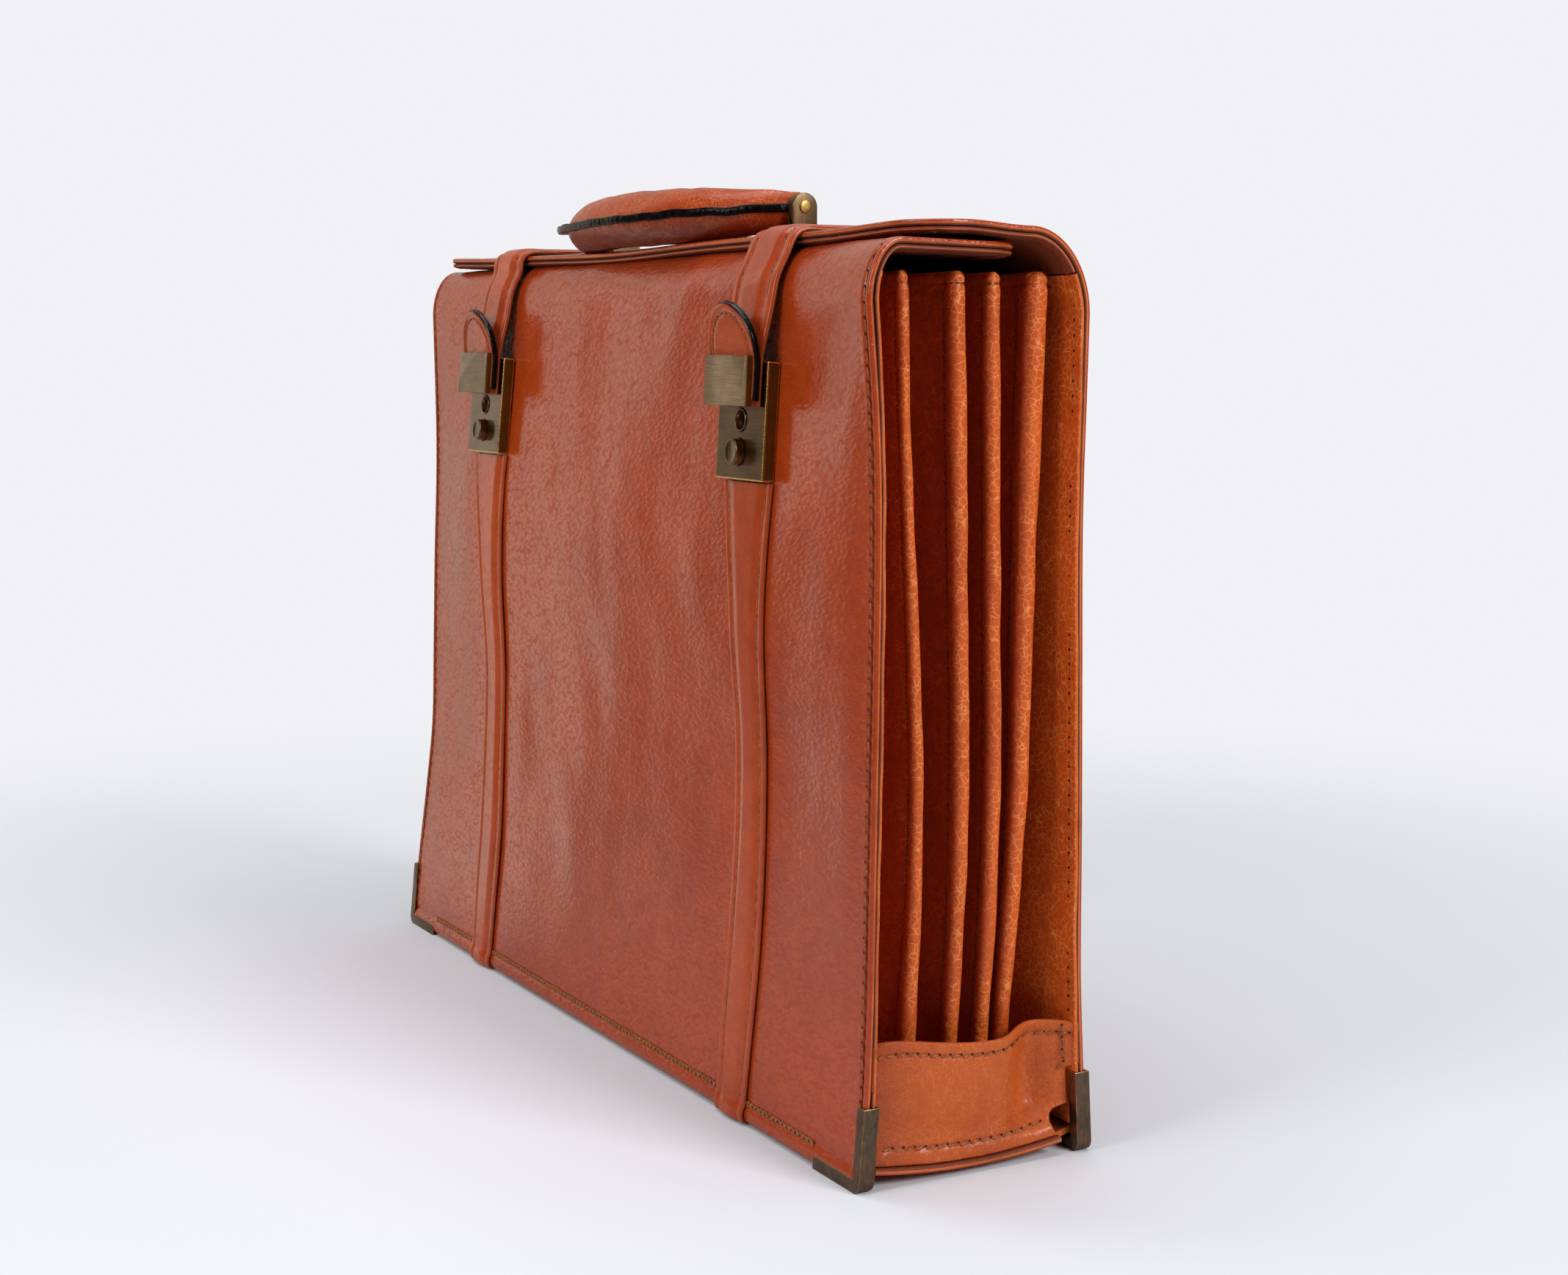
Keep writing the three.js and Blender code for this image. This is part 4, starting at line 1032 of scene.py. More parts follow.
def top_strap_line(x):
    """The line of an upper strap's underside, as y and z, from the hasp to the foot of the back."""
    under = LOCK_THICK + STRAP_GAP
    flap_top = BACK_BEND["z"] + BACK_BEND["high"] + STRAP_GAP
    rise = [on_lock(x, up, under) for up in np.linspace(HASP_LOW, LOCK_HIGH + 1.5, 12)]
    turn = FRONT_TOP - FRONT_RISE
    low, middle, high = (front_face(x, FRONT_RISE + turn * part)[1:] for part in (-0.1, 0.3, 0.66))
    hug = [(low[0] - 2.8, low[1]), (middle[0] - 1.9, middle[1] + 0.6), (high[0] - 1.6, high[1] + 1.2)]
    over = [(FLAP_EDGE + y, flap_top + z) for y, z in ((-2.6, -3.6), (-1.2, -0.5), (3, 0.4))]
    s = np.linspace(BACK_TOP + BACK_REACH - FLAP_EDGE - 8, 0.5, 150)
    run = back_face(x, s)
    ahead = unit(np.gradient(run[:, 1:], axis=0))
    run = run[:, 1:] + np.stack([-ahead[:, 1], ahead[:, 0]], -1) * STRAP_GAP
    line = np.concatenate([rise, hug, over, run])
    length = run_length(line)
    even = np.linspace(0, length[-1], STRAP_ROWS)
    line = np.stack([np.interp(even, length, line[:, k]) for k in (0, 1)], -1)
    for _ in range(6):
        line[1:-1] = (line[:-2] + 2 * line[1:-1] + line[2:]) / 4
    return line


def top_strap_spots(x, f):
    """An upper strap's outer face: rows along it, f across."""
    line = top_strap_line(x)
    ahead = unit(np.gradient(line, axis=0))
    outside = np.stack([-ahead[:, 1], ahead[:, 0]], -1)
    high = STRAP + crown((0.5 - np.abs(f)) * TOP_WIDE, TOP_SEAM, 1.0)
    place = line[:, None, :] + outside[:, None, :] * high[None, :, None]
    xs = np.broadcast_to(x + f * TOP_WIDE, place.shape[:2])
    return np.concatenate([xs[..., None], place], -1)

# %% Straps
LOW_ROWS = np.concatenate([[1.1, 1.9, 2.8, 4, 5.2, 6.2, 7], spaced([8, 224.9], 3)])

for side, x in LOCKS:
    spots = low_strap_face(x, across(23, LOW_SEAM)[None, :], LOW_ROWS[:, None])
    low = hide("low_strap_" + side, spots, LOW_STRAP, STRAP_TAN, rim_distance(spots, (1,)))
    belongs(low, "front_strap_" + side)
    spots = top_strap_spots(x, across(TOP_WIDE, TOP_SEAM))
    top = hide("long_strap_" + side, spots, STRAP, STRAP_TAN, rim_distance(spots, (1,)))
    belongs(top, "top_strap_" + side)

# %% [markdown]
# ## Flat pieces from an outline
# The lock plates, the corner guards and the handle's posts are all flat outlines with some thickness. A
# circle primitive is drawn out to the outline, filled, and extruded. A lock piece is made lying flat,
# and then leaned against the front as its lock is.

# %% Slab helpers
def slab(name, outline, thick, low=0.0):
    """A plate: the outline's x and y in mm, extruded along z."""
    bpy.ops.object.select_all(action="DESELECT")
    bpy.ops.mesh.primitive_circle_add(vertices=len(outline), radius=1, fill_type="NGON")
    piece = bpy.context.object
    piece.name = name
    for vertex, (x, y) in zip(piece.data.vertices, outline):
        vertex.co = (x * MM, y * MM, low * MM)
    bpy.ops.object.mode_set(mode="EDIT")
    bpy.ops.mesh.select_all(action="SELECT")
    bpy.ops.mesh.extrude_region_move(TRANSFORM_OT_translate={"value": (0, 0, thick * MM)})
    bpy.ops.mesh.select_all(action="SELECT")
    bpy.ops.mesh.normals_make_consistent(inside=False)
    bpy.ops.object.mode_set(mode="OBJECT")
    return piece


def settle(piece, matrix):
    """Moves a piece to its place and leaves its object at the origin."""
    piece.matrix_world = matrix
    select_only(piece)
    bpy.ops.object.transform_apply(location=True, rotation=True, scale=True)


def combine(piece, tool, operation="DIFFERENCE"):
    """Cuts a tool's shape out of a piece, or joins it on, and throws the tool away."""
    apply_modifier(piece, "BOOLEAN", operation=operation, solver="EXACT", object=tool)
    bpy.data.objects.remove(tool)


def soften(piece, wide, finishes, segments=3, angle=35):
    """Rounds a plate's sharp edges, with a finish for the plate and one for its rubbed edges."""
    for finish in finishes:
        piece.data.materials.append(finish)
    apply_modifier(piece, "BEVEL", width=wide * MM, segments=segments, limit_method="ANGLE",
                   angle_limit=math.radians(angle), material=len(finishes) - 1)
    bpy.ops.object.shade_smooth_by_angle(angle=math.radians(40))


def box_outline(wide, low, high):
    """A rectangle's corners: its width, its lower edge and its height."""
    return [(-wide / 2, low), (wide / 2, low), (wide / 2, low + high), (-wide / 2, low + high)]


def round_outline(x, y, radius, start, stop, steps):
    """Points on an arc round x and y, between two angles in degrees."""
    return [(x + radius * math.cos(a), y + radius * math.sin(a)) for a in angles(start, stop, steps)]


def lock_matrix(x):
    """Stands a flat lock piece up in its place, with the front's lean."""
    foot, lean = lock_slope(x)
    place = Matrix.Translation((x * MM, (foot + SHIFT_Y) * MM, LOCK_Z * MM))
    return place @ Matrix.Rotation(math.pi / 2 - lean, 4, "X")


# %% [markdown]
# ## Pull tabs
# Behind each hasp a round-topped tab stands up, two hides thick, with a seam inside its edge.
# The edge is painted black: the sheet's rim gets the paint, and its faces get it close to the rim.

# %% Tab shape
TAB_HALF = 17
TAB_LOW = 27
TAB_BACK = 6.9
TAB_THICK = 2.9
TAB_SEAM = 3.6
TAB_BEND = 40
TAB_LEAN = 0.16
TAB_CURL = 0.005


def tab_half(up):
    """How far up a tab's round top a spot is, and the tab's half width there."""
    over = np.maximum(0, up - (TAB_TOP - TAB_HALF))
    return over, np.sqrt(np.maximum(0.01, TAB_HALF**2 - over**2))


def tab_face(x, t, up):
    """A tab's front, t from -1 to 1 across: flat behind the hasp, and curling forward above it."""
    t, up = np.broadcast_arrays(np.asarray(t, float), np.asarray(up, float))
    half = tab_half(up)[1]
    past = np.maximum(0, up - TAB_BEND)
    out = TAB_BACK + TAB_THICK + TAB_LEAN * past + TAB_CURL * past**2
    y, z = on_lock(x, up, out)
    return np.stack([x + t * half, y, z], -1)


def tab_inside(t, up):
    """How far a spot of a tab is from its edge."""
    over, half = tab_half(up)
    return np.minimum(TAB_HALF - np.hypot(t * half, over), up - TAB_LOW)

# %% Pull tabs
tab_t = -np.cos(np.linspace(0, math.pi, 41))[None, :]
tab_up = np.concatenate([
    TAB_LOW + np.array([*BRIM, 1.3]),
    np.linspace(TAB_LOW + 2, TAB_TOP - TAB_HALF, 14),
    TAB_TOP - TAB_HALF * (1 - np.sin(angles(4, 90, 30))),
])[:, None]
tab_rim = tab_inside(tab_t, tab_up)

for side, x in LOCKS:
    spots = tab_face(x, tab_t, tab_up)
    groove = 0.3 * hill(tab_rim, 1.6, 1.0) - 0.4 * hill(tab_rim, TAB_SEAM, 0.6)
    spots = spots + outward(spots) * groove[..., None]
    tab = hide("tab_" + side, spots, TAB_THICK, TAB_TAN, tab_rim, 0.9, TAB_TAN, BLACK_EDGE)
    depth = tab.data.attributes.new("rim", "FLOAT", "POINT")
    depth.data.foreach_set("value", np.tile(tab_rim.ravel(), 2))
    belongs(tab, "pull_tab_" + side)

# %% [markdown]
# ## Locks
# A lock is a brass case with a key plug and a push button, and the hasp clips over its upper part. The
# case is a plate with two round bores, and the hasp is a plate with a raised lip. The plug sits in a
# raised ring, with a keyway, and the button is a short post with a dished face. Bevels catch the light,
# and they are where the lacquer has worn.

# %% Lock helpers
LOCK_WIDE = 34.8
PLUG_UP = 20.6
PLUG_RADIUS = 4.25
BUTTON_UP = 9.6
BUTTON_RADIUS = 4.5
BUTTON_PROUD = 3.5
HASP_WIDE = 32
HASP_HIGH = 17
HASP_THICK = 2.0
HASP_LIP = 2.2
HASP_BACK = 9.8


def drum(name, radius, low, high, up, sides=48):
    """A round bar that stands out of a lock."""
    return slab(name, round_outline(0, up, radius, 0, 360 - 360 / sides, sides), high - low, low)


def select_cap(piece, height):
    """Selects the faces that look out of the lock at a height."""
    bpy.ops.object.mode_set(mode="OBJECT")
    for face in piece.data.polygons:
        face.select = face.normal.z > 0.9 and abs(face.center.z - height * MM) < 0.05 * MM
    bpy.ops.object.mode_set(mode="EDIT")
    bpy.ops.mesh.select_mode(type="FACE")


def ring_steps(piece, height, steps):
    """Insets the cap face and lifts or sinks it, step by step."""
    bpy.ops.object.mode_set(mode="EDIT")
    bpy.ops.mesh.select_all(action="DESELECT")
    select_cap(piece, height)
    for narrow, lift in steps:
        bpy.ops.mesh.inset(thickness=narrow * MM, depth=lift * MM)
    bpy.ops.object.mode_set(mode="OBJECT")


def side_finish(piece):
    """The plain faces at a lock's left and right get its second finish."""
    for face in piece.data.polygons:
        if abs(face.normal.x) > 0.98:
            face.material_index = 1

# %% Lock pieces
for side, x in LOCKS:
    place = lock_matrix(x)
    case = slab("case_" + side, box_outline(LOCK_WIDE, 0, LOCK_HIGH), LOCK_THICK)
    soften(case, 0.7, (ANTIQUE, SIDE_BRASS, WORN))
    side_finish(case)
    combine(case, drum("bore", PLUG_RADIUS, 0.8, LOCK_THICK + 2, PLUG_UP))
    combine(case, drum("bore", BUTTON_RADIUS + 0.35, 0.8, LOCK_THICK + 2, BUTTON_UP))
    apply_modifier(case, "WEIGHTED_NORMAL", keep_sharp=True)
    settle(case, place)
    belongs(case, "lock_case_" + side)

    plug = drum("key_plug_" + side, PLUG_RADIUS - 0.2, 1.1, LOCK_THICK + 0.3, PLUG_UP)
    ring_steps(plug, LOCK_THICK + 0.3, [(0.2, 0.15), (0.35, 0.0), (0.25, -1.3), (0.5, -0.1)])
    keyway = slab("keyway", box_outline(1.0, PLUG_UP - 2.3, 4.6), 3, LOCK_THICK - 1.6)
    combine(plug, keyway)
    soften(plug, 0.08, (ANTIQUE, ANTIQUE, KEYHOLE, ANTIQUE), 2, 50)
    for face in plug.data.polygons:
        aside = (face.center.xy - Vector((0, PLUG_UP * MM))).length
        if face.center.z < (LOCK_THICK + 0.3) * MM and aside < 3.3 * MM:
            face.material_index = 2
    settle(plug, place)
    belongs(plug, "lock_plug_" + side, "plug_" + side)

    button = drum("push_button_" + side, BUTTON_RADIUS, 3.4, LOCK_THICK + BUTTON_PROUD, BUTTON_UP)
    ring_steps(button, LOCK_THICK + BUTTON_PROUD, [(0.7, 0), (0.5, -0.12), (1.2, -0.12), (1.2, -0.04)])
    soften(button, 0.55, (ANTIQUE,), 4, 50)
    settle(button, place)
    belongs(button, "lock_button_" + side, "button_" + side)

    hasp = slab("hasp_plate_" + side, box_outline(HASP_WIDE, HASP_LOW, HASP_HIGH), HASP_THICK, HASP_BACK)
    lip = slab("lip", box_outline(HASP_LIP, HASP_LOW, HASP_HIGH), HASP_THICK + 0.5, HASP_BACK)
    settle(lip, Matrix.Translation(((HASP_WIDE - HASP_LIP) / 2 * MM, 0, 0)))
    combine(hasp, lip, "UNION")
    soften(hasp, 0.4, (BRUSHED, SIDE_BRASS, POST_BRASS))
    side_finish(hasp)
    settle(hasp, place)
    belongs(hasp, "hasp_" + side)

# %% [markdown]
# ## Corner guards
# Each lower corner of the panels is held in a folded metal channel, an L with a round outer corner. A
# solid L is extruded to the channel's depth and the slot for the leather is cut out of it. The guard
# leans with its panel, so its points are moved inwards with their height.

# %% Corner guards
HALF_LENGTH = 210
GUARD = {"upright": 28.3, "along": 30.4, "leg": 4.5, "round": 4, "metal": 0.8, "inside": 4.2}


def guard_outline(edge, round_to, left, top):
    """The outer line of a guard, from the end of its foot round the corner and up to its top."""
    middle = HALF_LENGTH - edge - round_to
    corner = round_outline(middle, edge + round_to, round_to, -90, 0, 9)
    return [(left, edge), *corner, (HALF_LENGTH - edge, top)]


def guard(name, lean, x_side, y_side):
    """A guard with its slot, leaned with its panel and put on one of the four corners."""
    left = HALF_LENGTH - GUARD["along"]
    inner = HALF_LENGTH - GUARD["leg"]
    outline = guard_outline(0, GUARD["round"], left, GUARD["upright"])
    outline += [(inner, GUARD["upright"]), (inner, GUARD["leg"]), (left, GUARD["leg"])]
    piece = slab(name, outline, GUARD["inside"] + 2 * GUARD["metal"])
    slot = guard_outline(GUARD["metal"], GUARD["round"] - GUARD["metal"], left - 5, GUARD["upright"] + 5)
    slot += [(left - 5, GUARD["upright"] + 5)]
    combine(piece, slab("slot", slot, GUARD["inside"], GUARD["metal"]))
    soften(piece, 0.28, (BRONZE, RUBBED), 3, 40)
    for vertex in piece.data.vertices:
        x, z, depth = vertex.co / MM
        y = -HALF_DEPTH + depth + lean * z
        vertex.co = Vector((x_side * x, y_side * y + SHIFT_Y, z)) * MM
    if x_side * y_side > 0:
        piece.data.flip_normals()
    return piece


for name, lean, x_side, y_side in (
    ("front_right", (LEAN_NEAR[1] - LEAN_NEAR[0]) / LEAN_Z[1], 1, 1),
    ("front_left", (LEAN_FAR[1] - LEAN_FAR[0]) / LEAN_Z[1], -1, 1),
    ("back_right", (BACK_IN[1] - BACK_IN[0]) / BACK_Z[1], 1, -1),
    ("back_left", (BACK_IN[1] - BACK_IN[0]) / BACK_Z[1], -1, -1),
):
    piece = guard("guard_" + name, lean, x_side, y_side)
    belongs(piece, "corner_" + name)

# %% [markdown]
# ## Handle
# The grip is an arch of two stuffed pads, one above and one below a stiff inner strip. The strip's edge
# stands out between the pads and is painted black. The pads are one tube with a pillow-shaped section,
# pinched at the strip. It is firm, so it is shaped by its section rather than by a cloth simulation.

# %% Grip shape
PIN_Z = 321
REACH_X = 79
REACH_Y = 27.5
OVERRUN = 7
STRIP = 3.1
GRIP_STEPS = 120
GRIP_ROUND = 40
FAR_TIP = 135


def arch(part):
    """The grip's seam, part from 0 to 1 along it.

    It gives the spot, the outward direction, the swell, and how near the far tip is.
    """
    turn = mix(-OVERRUN, 180 + OVERRUN, np.asarray(part, float))
    angle = np.radians(turn)
    swell = np.maximum(0, np.sin(angle)) ** 1.2
    aim = unit(np.stack([REACH_Y * np.cos(angle), -REACH_X * np.sin(angle)], -1))
    sag = 2.3 * swell + 1.5 * hill(turn, FAR_TIP, 32)
    spot = np.stack([REACH_X * np.cos(angle), PIN_Y - REACH_Y * np.sin(angle), PIN_Z - sag], -1)
    return spot, aim, swell, hill(turn, FAR_TIP, 25)


def beside_seam(spot, aim, wide, lift):
    """Spots at the side of the grip's seam by wide, and above it by lift."""
    flat = spot[:, None, :2] + aim[:, None, :] * wide[..., None]
    return np.concatenate([flat, (spot[:, None, 2] + lift)[..., None]], -1)


def grip_spots():
    """The pads' skin, with a section at each step along the arch."""
    part = np.linspace(0, 1, GRIP_STEPS)
    spot, aim, swell, tip = arch(part)
    angle = np.linspace(0, 2 * math.pi, GRIP_ROUND + 1)
    side = np.cos(angle)
    lift = np.sign(np.sin(angle)) * np.abs(np.sin(angle)) ** 1.35
    wide = (mix(4.3, 14.0, swell) - 1.2 * tip)[:, None] * side
    above = mix(5.8, 11.3, swell)[:, None] * lift
    full = 2.0 * hill(part, 0.28, 0.2) + 1.6 * hill(part, 0.75, 0.14)
    below = (mix(6.8, 8.6, swell) + full)[:, None] * lift
    return beside_seam(spot, aim, wide, np.where(lift > 0, above, below))

# %% Grip
spots = grip_spots()
puffs = waves(spots, 9, 0.4, 61)
puffs[:, -1] = puffs[:, 0]
grip = lay("grip_pads", spots + outward(spots) * puffs[..., None])
bpy.ops.object.mode_set(mode="EDIT")
bpy.ops.mesh.select_all(action="SELECT")
bpy.ops.mesh.remove_doubles(threshold=0.01 * MM)
bpy.ops.mesh.fill_holes(sides=0)
bpy.ops.mesh.select_all(action="SELECT")
bpy.ops.mesh.normals_make_consistent(inside=False)
bpy.ops.object.mode_set(mode="OBJECT")
grip.data.materials.append(GRIP_TAN)
apply_modifier(grip, "SUBSURF", levels=1, render_levels=1)
bpy.ops.object.shade_smooth()
# Painted shade: the lower pad is darker than the upper one.
paint_shade_mask(grip, [ease(share(v.co.z / MM, PIN_Z - 11, PIN_Z + 1)) for v in grip.data.vertices])
belongs(grip, "handle_grip", "handle")

# %% Strip
spot, aim, swell, tip = arch(np.linspace(0.015, 0.985, 140))
reach = np.array([1, 0.97, 0.9, 0.5, 0, -0.5, -0.9, -0.97, -1])
wide = (mix(5.8, 15.2, swell) + 1.9 * tip)[:, None] * reach
strip_spots = beside_seam(spot, aim, wide, np.zeros(wide.shape))
strip_spots[..., 2] += waves(strip_spots, 11, 0.7, 71) + STRIP / 2
strip_rim = rim_distance(strip_spots, (1,))
strip = hide("grip_strip", strip_spots, STRIP, BLACK_EDGE, strip_rim, 0.9, BLACK_EDGE, BLACK_EDGE)
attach(strip, "handle")
print("grip:", len(grip.data.polygons), "faces, strip:", len(strip.data.polygons))

# %% [markdown]
# ## Posts and rivets
# The handle turns on two rivets in brass posts, which stand on plates on the flap. A post is a slab with
# a round top, and its foot plate is joined to it. A rivet is a bar with a domed head.

# %% Posts and rivets
POST_X = 84
POST_THICK = 4.5
POST_HALF = 5
PLATE_LONG = 25
PLATE_WIDE = 12
PLATE_THICK = 2.5
RIVET_RADIUS = 2.0
RIVET_START = 76.5
HEAD_RADIUS = 2.3
HEAD_HIGH = 0.5
SEAT = BACK_BEND["z"] + BACK_BEND["high"] + 0.3
STAND = Matrix(((0, 0, 1, 0), (1, 0, 0, 0), (0, 1, 0, 0), (0, 0, 0, 1)))
ON_PIN = Matrix.Translation((0, (PIN_Y + SHIFT_Y) * MM, 0))

for side, end in ENDS:
    outline = [(-POST_HALF, SEAT), (POST_HALF, SEAT), *round_outline(0, PIN_Z, POST_HALF, 0, 180, 25)]
    post = slab("post_" + side, outline, POST_THICK, POST_X if end > 0 else -POST_X - POST_THICK)
    settle(post, ON_PIN @ STAND)
    foot_low = POST_X + POST_THICK - PLATE_LONG
    middle = end * (foot_low + PLATE_LONG / 2)
    plate = slab("plate", box_outline(PLATE_LONG, -PLATE_WIDE / 2, PLATE_WIDE), PLATE_THICK, SEAT)
    settle(plate, Matrix.Translation((middle * MM, 0, 0)) @ ON_PIN)
    combine(post, plate, "UNION")
    soften(post, 0.45, (POST_BRASS, ANTIQUE), 3, 35)
    belongs(post, "handle_bracket_" + side)

    head = POST_X + POST_THICK + 0.05
    shaft = round_outline(0, PIN_Z, RIVET_RADIUS, 0, 345, 24)
    rivet = slab("rivet_" + side, shaft, head - RIVET_START, RIVET_START)
    cap = slab("cap", round_outline(0, PIN_Z, HEAD_RADIUS, 0, 345, 24), HEAD_HIGH, head)
    ring_steps(cap, head + HEAD_HIGH, [(0.3, 0.12), (0.5, 0.1), (0.8, 0.03)])
    select_only(cap, rivet)
    bpy.ops.object.join()
    rivet.data.materials.append(RIVET)
    bpy.ops.object.shade_smooth_by_angle(angle=math.radians(50))
    mirror = Matrix.Scale(end, 4, (1, 0, 0))
    settle(rivet, mirror @ ON_PIN @ STAND)
    if end < 0:
        rivet.data.flip_normals()
    belongs(rivet, "handle_pin_" + side)

# %% [markdown]
# ## Stitches
# A seam is a row of short thread bars that dive into needle holes. One bar is modelled from a low
# sphere, and copied along each seam's path, turned to the path and to the leather's normal. A dark disc
# at each needle hole is painted shade in it. All the bars of a seam group are one mesh, because there are
# thousands of them.

# %% One stitch
def model_bar():
    """The corners and faces of one stitch, one unit long, wide and high."""
    bpy.ops.object.select_all(action="DESELECT")
    bpy.ops.mesh.primitive_uv_sphere_add(segments=6, ring_count=5, radius=0.5)
    ball = bpy.context.object
    ball.rotation_euler = (0, math.pi / 2, 0)
    bpy.ops.object.transform_apply(rotation=True)
    corners = np.array([v.co for v in ball.data.vertices])
    corners[:, 0] = np.sign(corners[:, 0]) * 0.5 * (np.abs(corners[:, 0]) * 2) ** 0.8
    faces = [tuple(f.vertices) for f in ball.data.polygons]
    bpy.data.objects.remove(ball)
    return corners, faces


BAR, BAR_FACES = model_bar()
HOLE = np.array([(math.cos(a) * 0.5, math.sin(a) * 0.5, 0) for a in np.radians(range(0, 360, 60))])

# %% Rows of stitches
def along_path(points, normals, pitch):
    """Spots, directions and normals at every pitch along a path."""
    length = run_length(points)
    count = max(1, int(length[-1] / pitch))
    marks = (np.arange(count) + 0.5) * length[-1] / count

    def read(rows, at):
        return np.stack([np.interp(at, length, rows[:, k]) for k in range(3)], -1)

    spot = read(points, marks)
    ahead = unit(read(points, marks + 0.3) - read(points, marks - 0.3))
    up = read(normals, marks)
    up = unit(up - ahead * np.sum(up * ahead, axis=1, keepdims=True))
    return spot, ahead, up


def sew(name, paths, body, pitch=4.6, bar=(3.6, 0.9, 0.7), slant=8, lift=0.0, hole=1.1, finish=THREAD):
    """One mesh of stitches along several paths."""
    corners, faces, kinds = [], [], []
    total = 0
    for points, normals in paths:
        spot, ahead, up = along_path(points, normals, pitch)
        beside = np.cross(up, ahead)
        lean = math.radians(slant)
        for s, a, u, b in zip(spot, ahead, up, beside):
            run = a * math.cos(lean) + b * math.sin(lean)
            cross = np.cross(u, run)
            at = s + u * lift
            corners.append(at + BAR @ np.stack([run * bar[0], cross * bar[1], u * bar[2]]))
            faces.extend(tuple(total + i for i in f) for f in BAR_FACES)
            kinds.extend([0] * len(BAR_FACES))
            total += len(BAR)
            if hole:
                end = s + run * pitch * 0.5 + u * 0.06
                corners.append(end + HOLE @ np.stack([a * hole, b * hole, u]))
                faces.append(tuple(range(total, total + len(HOLE))))
                kinds.append(1)
                total += len(HOLE)
    mesh = bpy.data.meshes.new(name)
    mesh.from_pydata((np.concatenate(corners) + (0, SHIFT_Y, 0)) * MM, [], faces)
    mesh.materials.append(finish)
    mesh.materials.append(HOLE_SHADE)
    mesh.polygons.foreach_set("material_index", kinds)
    piece = bpy.data.objects.new(name, mesh)
    bpy.context.scene.collection.objects.link(piece)
    mesh.shade_smooth()
    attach(piece, body)
    print(name, len(mesh.polygons), "faces")


def on_face(face, x, s, side=1):
    """Points and outward normals of a face along a path of x and s."""
    step = 0.3
    across_face = face(x + step, s) - face(x - step, s)
    up_face = face(x, s + step) - face(x, s - step)
    return face(x, s), unit(np.cross(across_face, up_face) * side)


# %% [markdown]
# ## Seams of the panels
# One row of stitches runs round each panel, and shows on the inner layer too. Along the foot two slanted
# rows cross, as a thick hand-sewn seam does.

# %% Panel seams
def rim_path(end, corner, start):
    """A path of x and s round a panel: up one side, along the free edge and down the other side."""
    side = PANEL_HALF - SEAM
    top = end - SEAM
    bend = corner - SEAM
    turn = angles(0, 90, 16)
    x = np.concatenate([np.full(120, side), side - bend + bend * np.cos(turn)])
    s = np.concatenate([np.linspace(start, top - bend, 120), top - bend + bend * np.sin(turn)])
    edge = np.linspace(side - bend, bend - side, 160)[1:-1]
    return np.concatenate([x, edge, -x[::-1]]), np.concatenate([s, np.full(len(edge), top), s[::-1]])


front_rim = on_face(front_face, *rim_path(FRONT_END, FOLD_CORNER, 9))
back_rim = on_face(back_face, *rim_path(BACK_END, FLAP_CORNER, 9), side=-1)
through_layers = HIDE + LINING_GAP + LINING
inner_rims = [(points - normals * through_layers, -normals) for points, normals in (front_rim, back_rim)]
sew("rim_seams", [front_rim, back_rim, *inner_rims], "bag", 4.9, (3.9, 0.7, 0.6), 8, -0.25, 1.1)

roll_x = np.linspace(-178, 178, 300)
roll_front = on_face(front_face, roll_x, np.full(300, ROLL_SEAM + 0.2))
roll_back = on_face(back_face, roll_x, np.full(300, ROLL_SEAM + 0.2), side=-1)
sew("foot_seam_down", [roll_front, roll_back], "bag", 3.1, (3.6, 1.2, 1.0), 32, 0.0, 0)
sew("foot_seam_up", [roll_front, roll_back], "bag", 3.1, (3.6, 1.1, 0.9), -32, 0.1, 0)

# %% [markdown]
# ## Seams of straps and tabs
# A strap is sewn along both edges, and a tab round its top. The stitches lie in the grooves that were
# pressed into the leather.

# %% Strap seams
FORWARD = (0.0, -1.0, 0.0)
strap_paths = []
for x in (-LOCK_X, LOCK_X):
    z = np.linspace(9, 221, 200)
    wide = through(z, STRAP_Z, STRAP_WIDE)
    for edge in (-1, 1):
        f = edge * (0.5 - LOW_SEAM / wide)
        points = low_strap_face(x, f, z)
        strap_paths.append((points, np.tile(FORWARD, (len(z), 1))))
    seam_f = np.array([-0.5, 0.5]) * (1 - 2 * TOP_SEAM / TOP_WIDE)
    lanes = top_strap_spots(x, seam_f)
    ups = outward(lanes)
    for lane in (0, 1):
        strap_paths.append((lanes[26:-4, lane], ups[26:-4, lane]))
sew("strap_seams", strap_paths, "bag", 4.4, (3.4, 0.8, 0.6), 7, 0.1, 1.0)

# %% Tab seams
tab_paths = []
turn = angles(0, 180, 60)
seam_half = TAB_HALF - TAB_SEAM
seam_x = np.concatenate([[seam_half], seam_half * np.cos(turn), [-seam_half]])
seam_up = np.concatenate([[TAB_LOW + 14], TAB_TOP - TAB_HALF + seam_half * np.sin(turn), [TAB_LOW + 14]])
for x in (-LOCK_X, LOCK_X):
    part = seam_x / tab_half(seam_up)[1]
    points = tab_face(x, part, seam_up)
    lean = unit((tab_face(x, part, seam_up + 0.3) - tab_face(x, part, seam_up - 0.3))[:, 1:])
    tab_paths.append((points, np.column_stack([np.zeros(len(lean)), -lean[:, 1], lean[:, 0]])))
sew("tab_seams", tab_paths, "bag", 3.6, (2.8, 0.7, 0.5), 7, -0.15, 0.6)

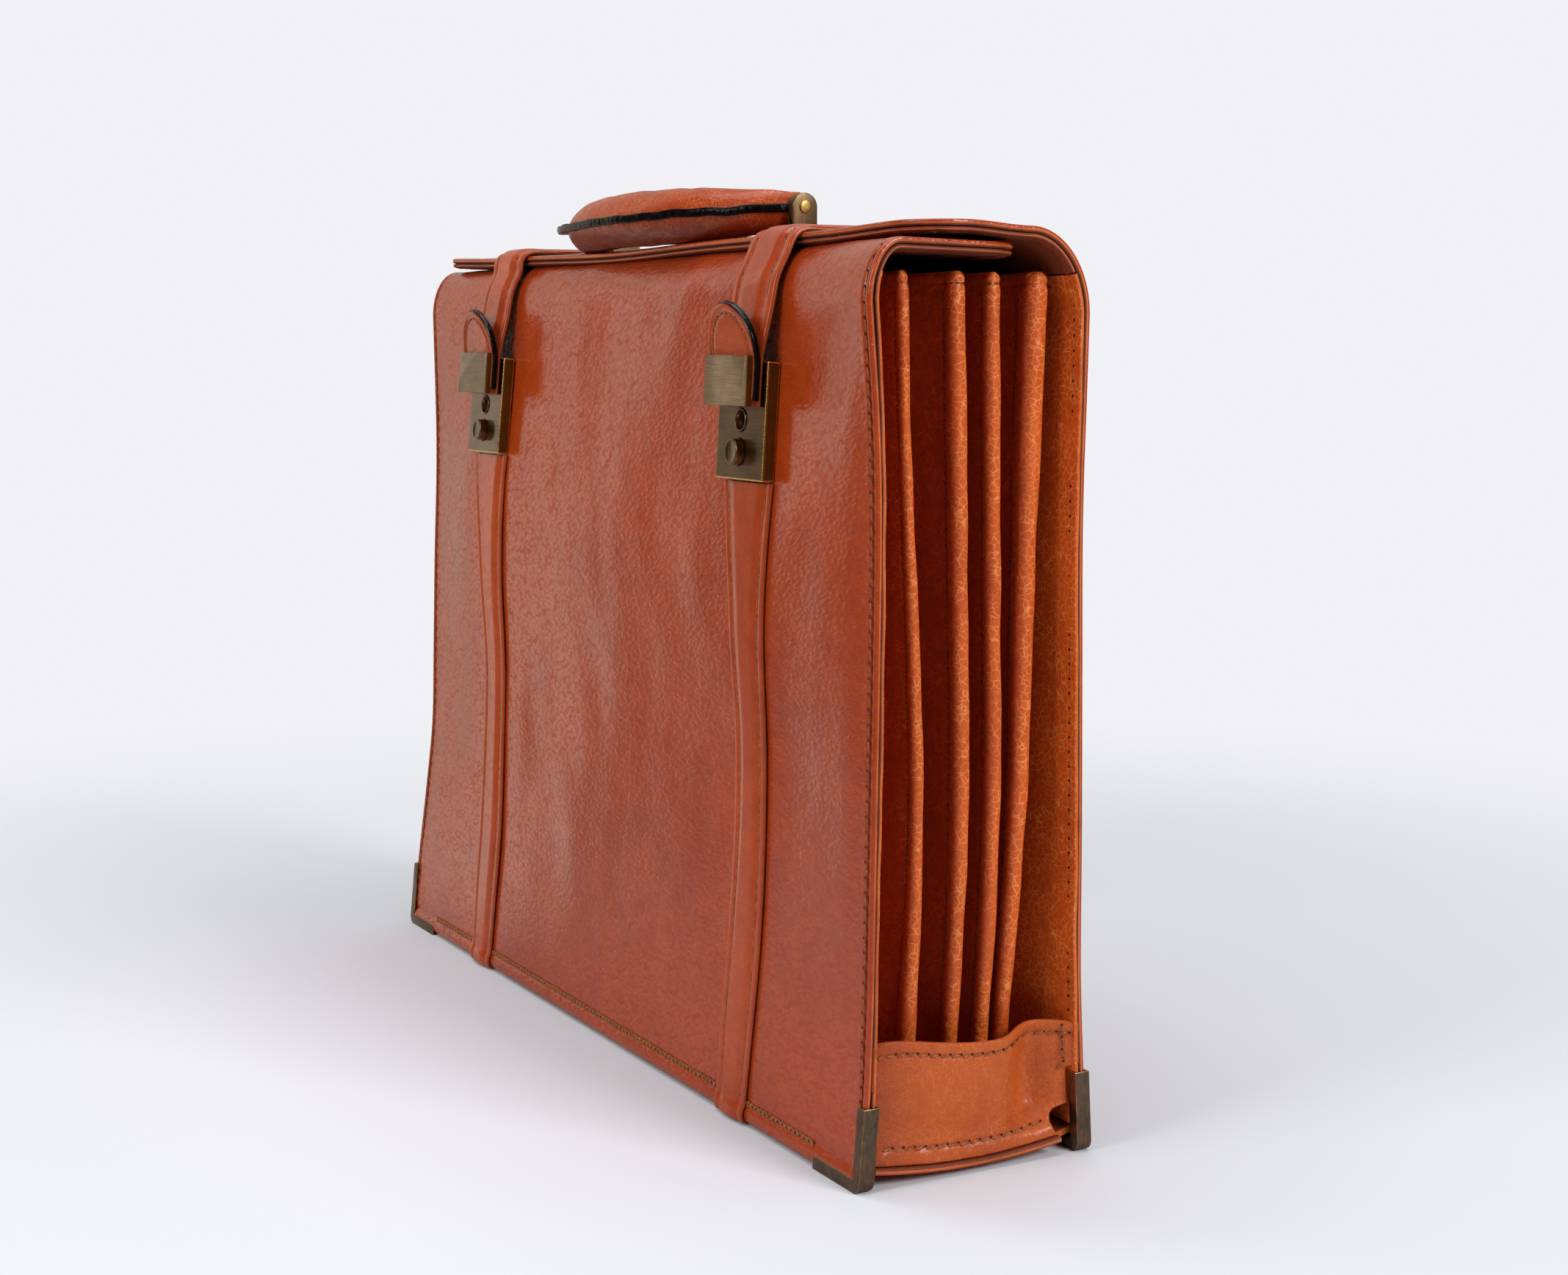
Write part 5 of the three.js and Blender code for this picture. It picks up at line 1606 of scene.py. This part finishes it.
# %% [markdown]
# ## Seams of boots and pleats
# A boot is sewn along its top, its lip and its back edge. Each rib is stitched behind its ridge and
# across its pinched top, with a darker thread that hardly shows.

# %% Boot and pleat seams
boot_paths = []
rib_paths = []
cap_paths = []
for end in (-1, 1):
    for u, rise, lift in (
        (np.linspace(0.03, 0.97, 120), 1 - BOOT_SEAM / BOOT_HIGH, -0.1),
        (np.linspace(0.04, 0.95, 120), LIP_SEAM / BOOT_HIGH, -0.1),
        (0.95, np.linspace(0.56, 0.97, 30), 0.1),
    ):
        points = boot_face(end, u, rise)
        out = np.tile((float(end), 0.0, 0.0), (len(points), 1))
        boot_paths.append((points + out * lift, out))
    z = np.linspace(16, 288, 120)
    for k in range(len(RIB_Y)):
        middle, half, ridge = rib_at(end, k, z)
        points = np.stack([end * (ridge - 2 * half), middle - half + 0.6 * NECK - PLEAT / 2, z], -1)
        rib_paths.append((points, np.tile(FORWARD, (len(z), 1))))
        middle, half, ridge = (float(v) for v in rib_at(end, k, PINCH))
        bow = angles(-80, 40, 13)
        normals = np.stack([end * np.cos(bow), np.sin(bow), np.zeros(len(bow))], -1)
        cap_paths.append(((end * (ridge - half), middle, PINCH) + (half + PLEAT / 2) * normals, normals))
    top_x = np.linspace(176, 206, 20)
    top_y = np.full(20, float(back_y(PINCH - 0.5)) - FLANGE_IN - PLEAT / 2)
    top_points = np.stack([end * top_x, top_y, np.full(20, PINCH - 0.5)], -1)
    rib_paths.append((top_points, np.tile(FORWARD, (20, 1))))
sew("boot_seams", boot_paths, "bag", 4.2, (3.4, 1.0, 0.8), 14, 0.1)
sew("pleat_cap_seams", cap_paths, "bag", 1.9, (1.8, 0.6, 0.4), 6, 0.0, 0, DARK_THREAD)
sew("pleat_seams", rib_paths, "bag", 5.0, (3.6, 0.7, 0.5), 6, 0.0, 0.9, DARK_THREAD)

# %% [markdown]
# ## Size and finish
# The dressed bag's box is measured and printed.

# %% Size and finish
low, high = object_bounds()
print("dressed box", low, high)
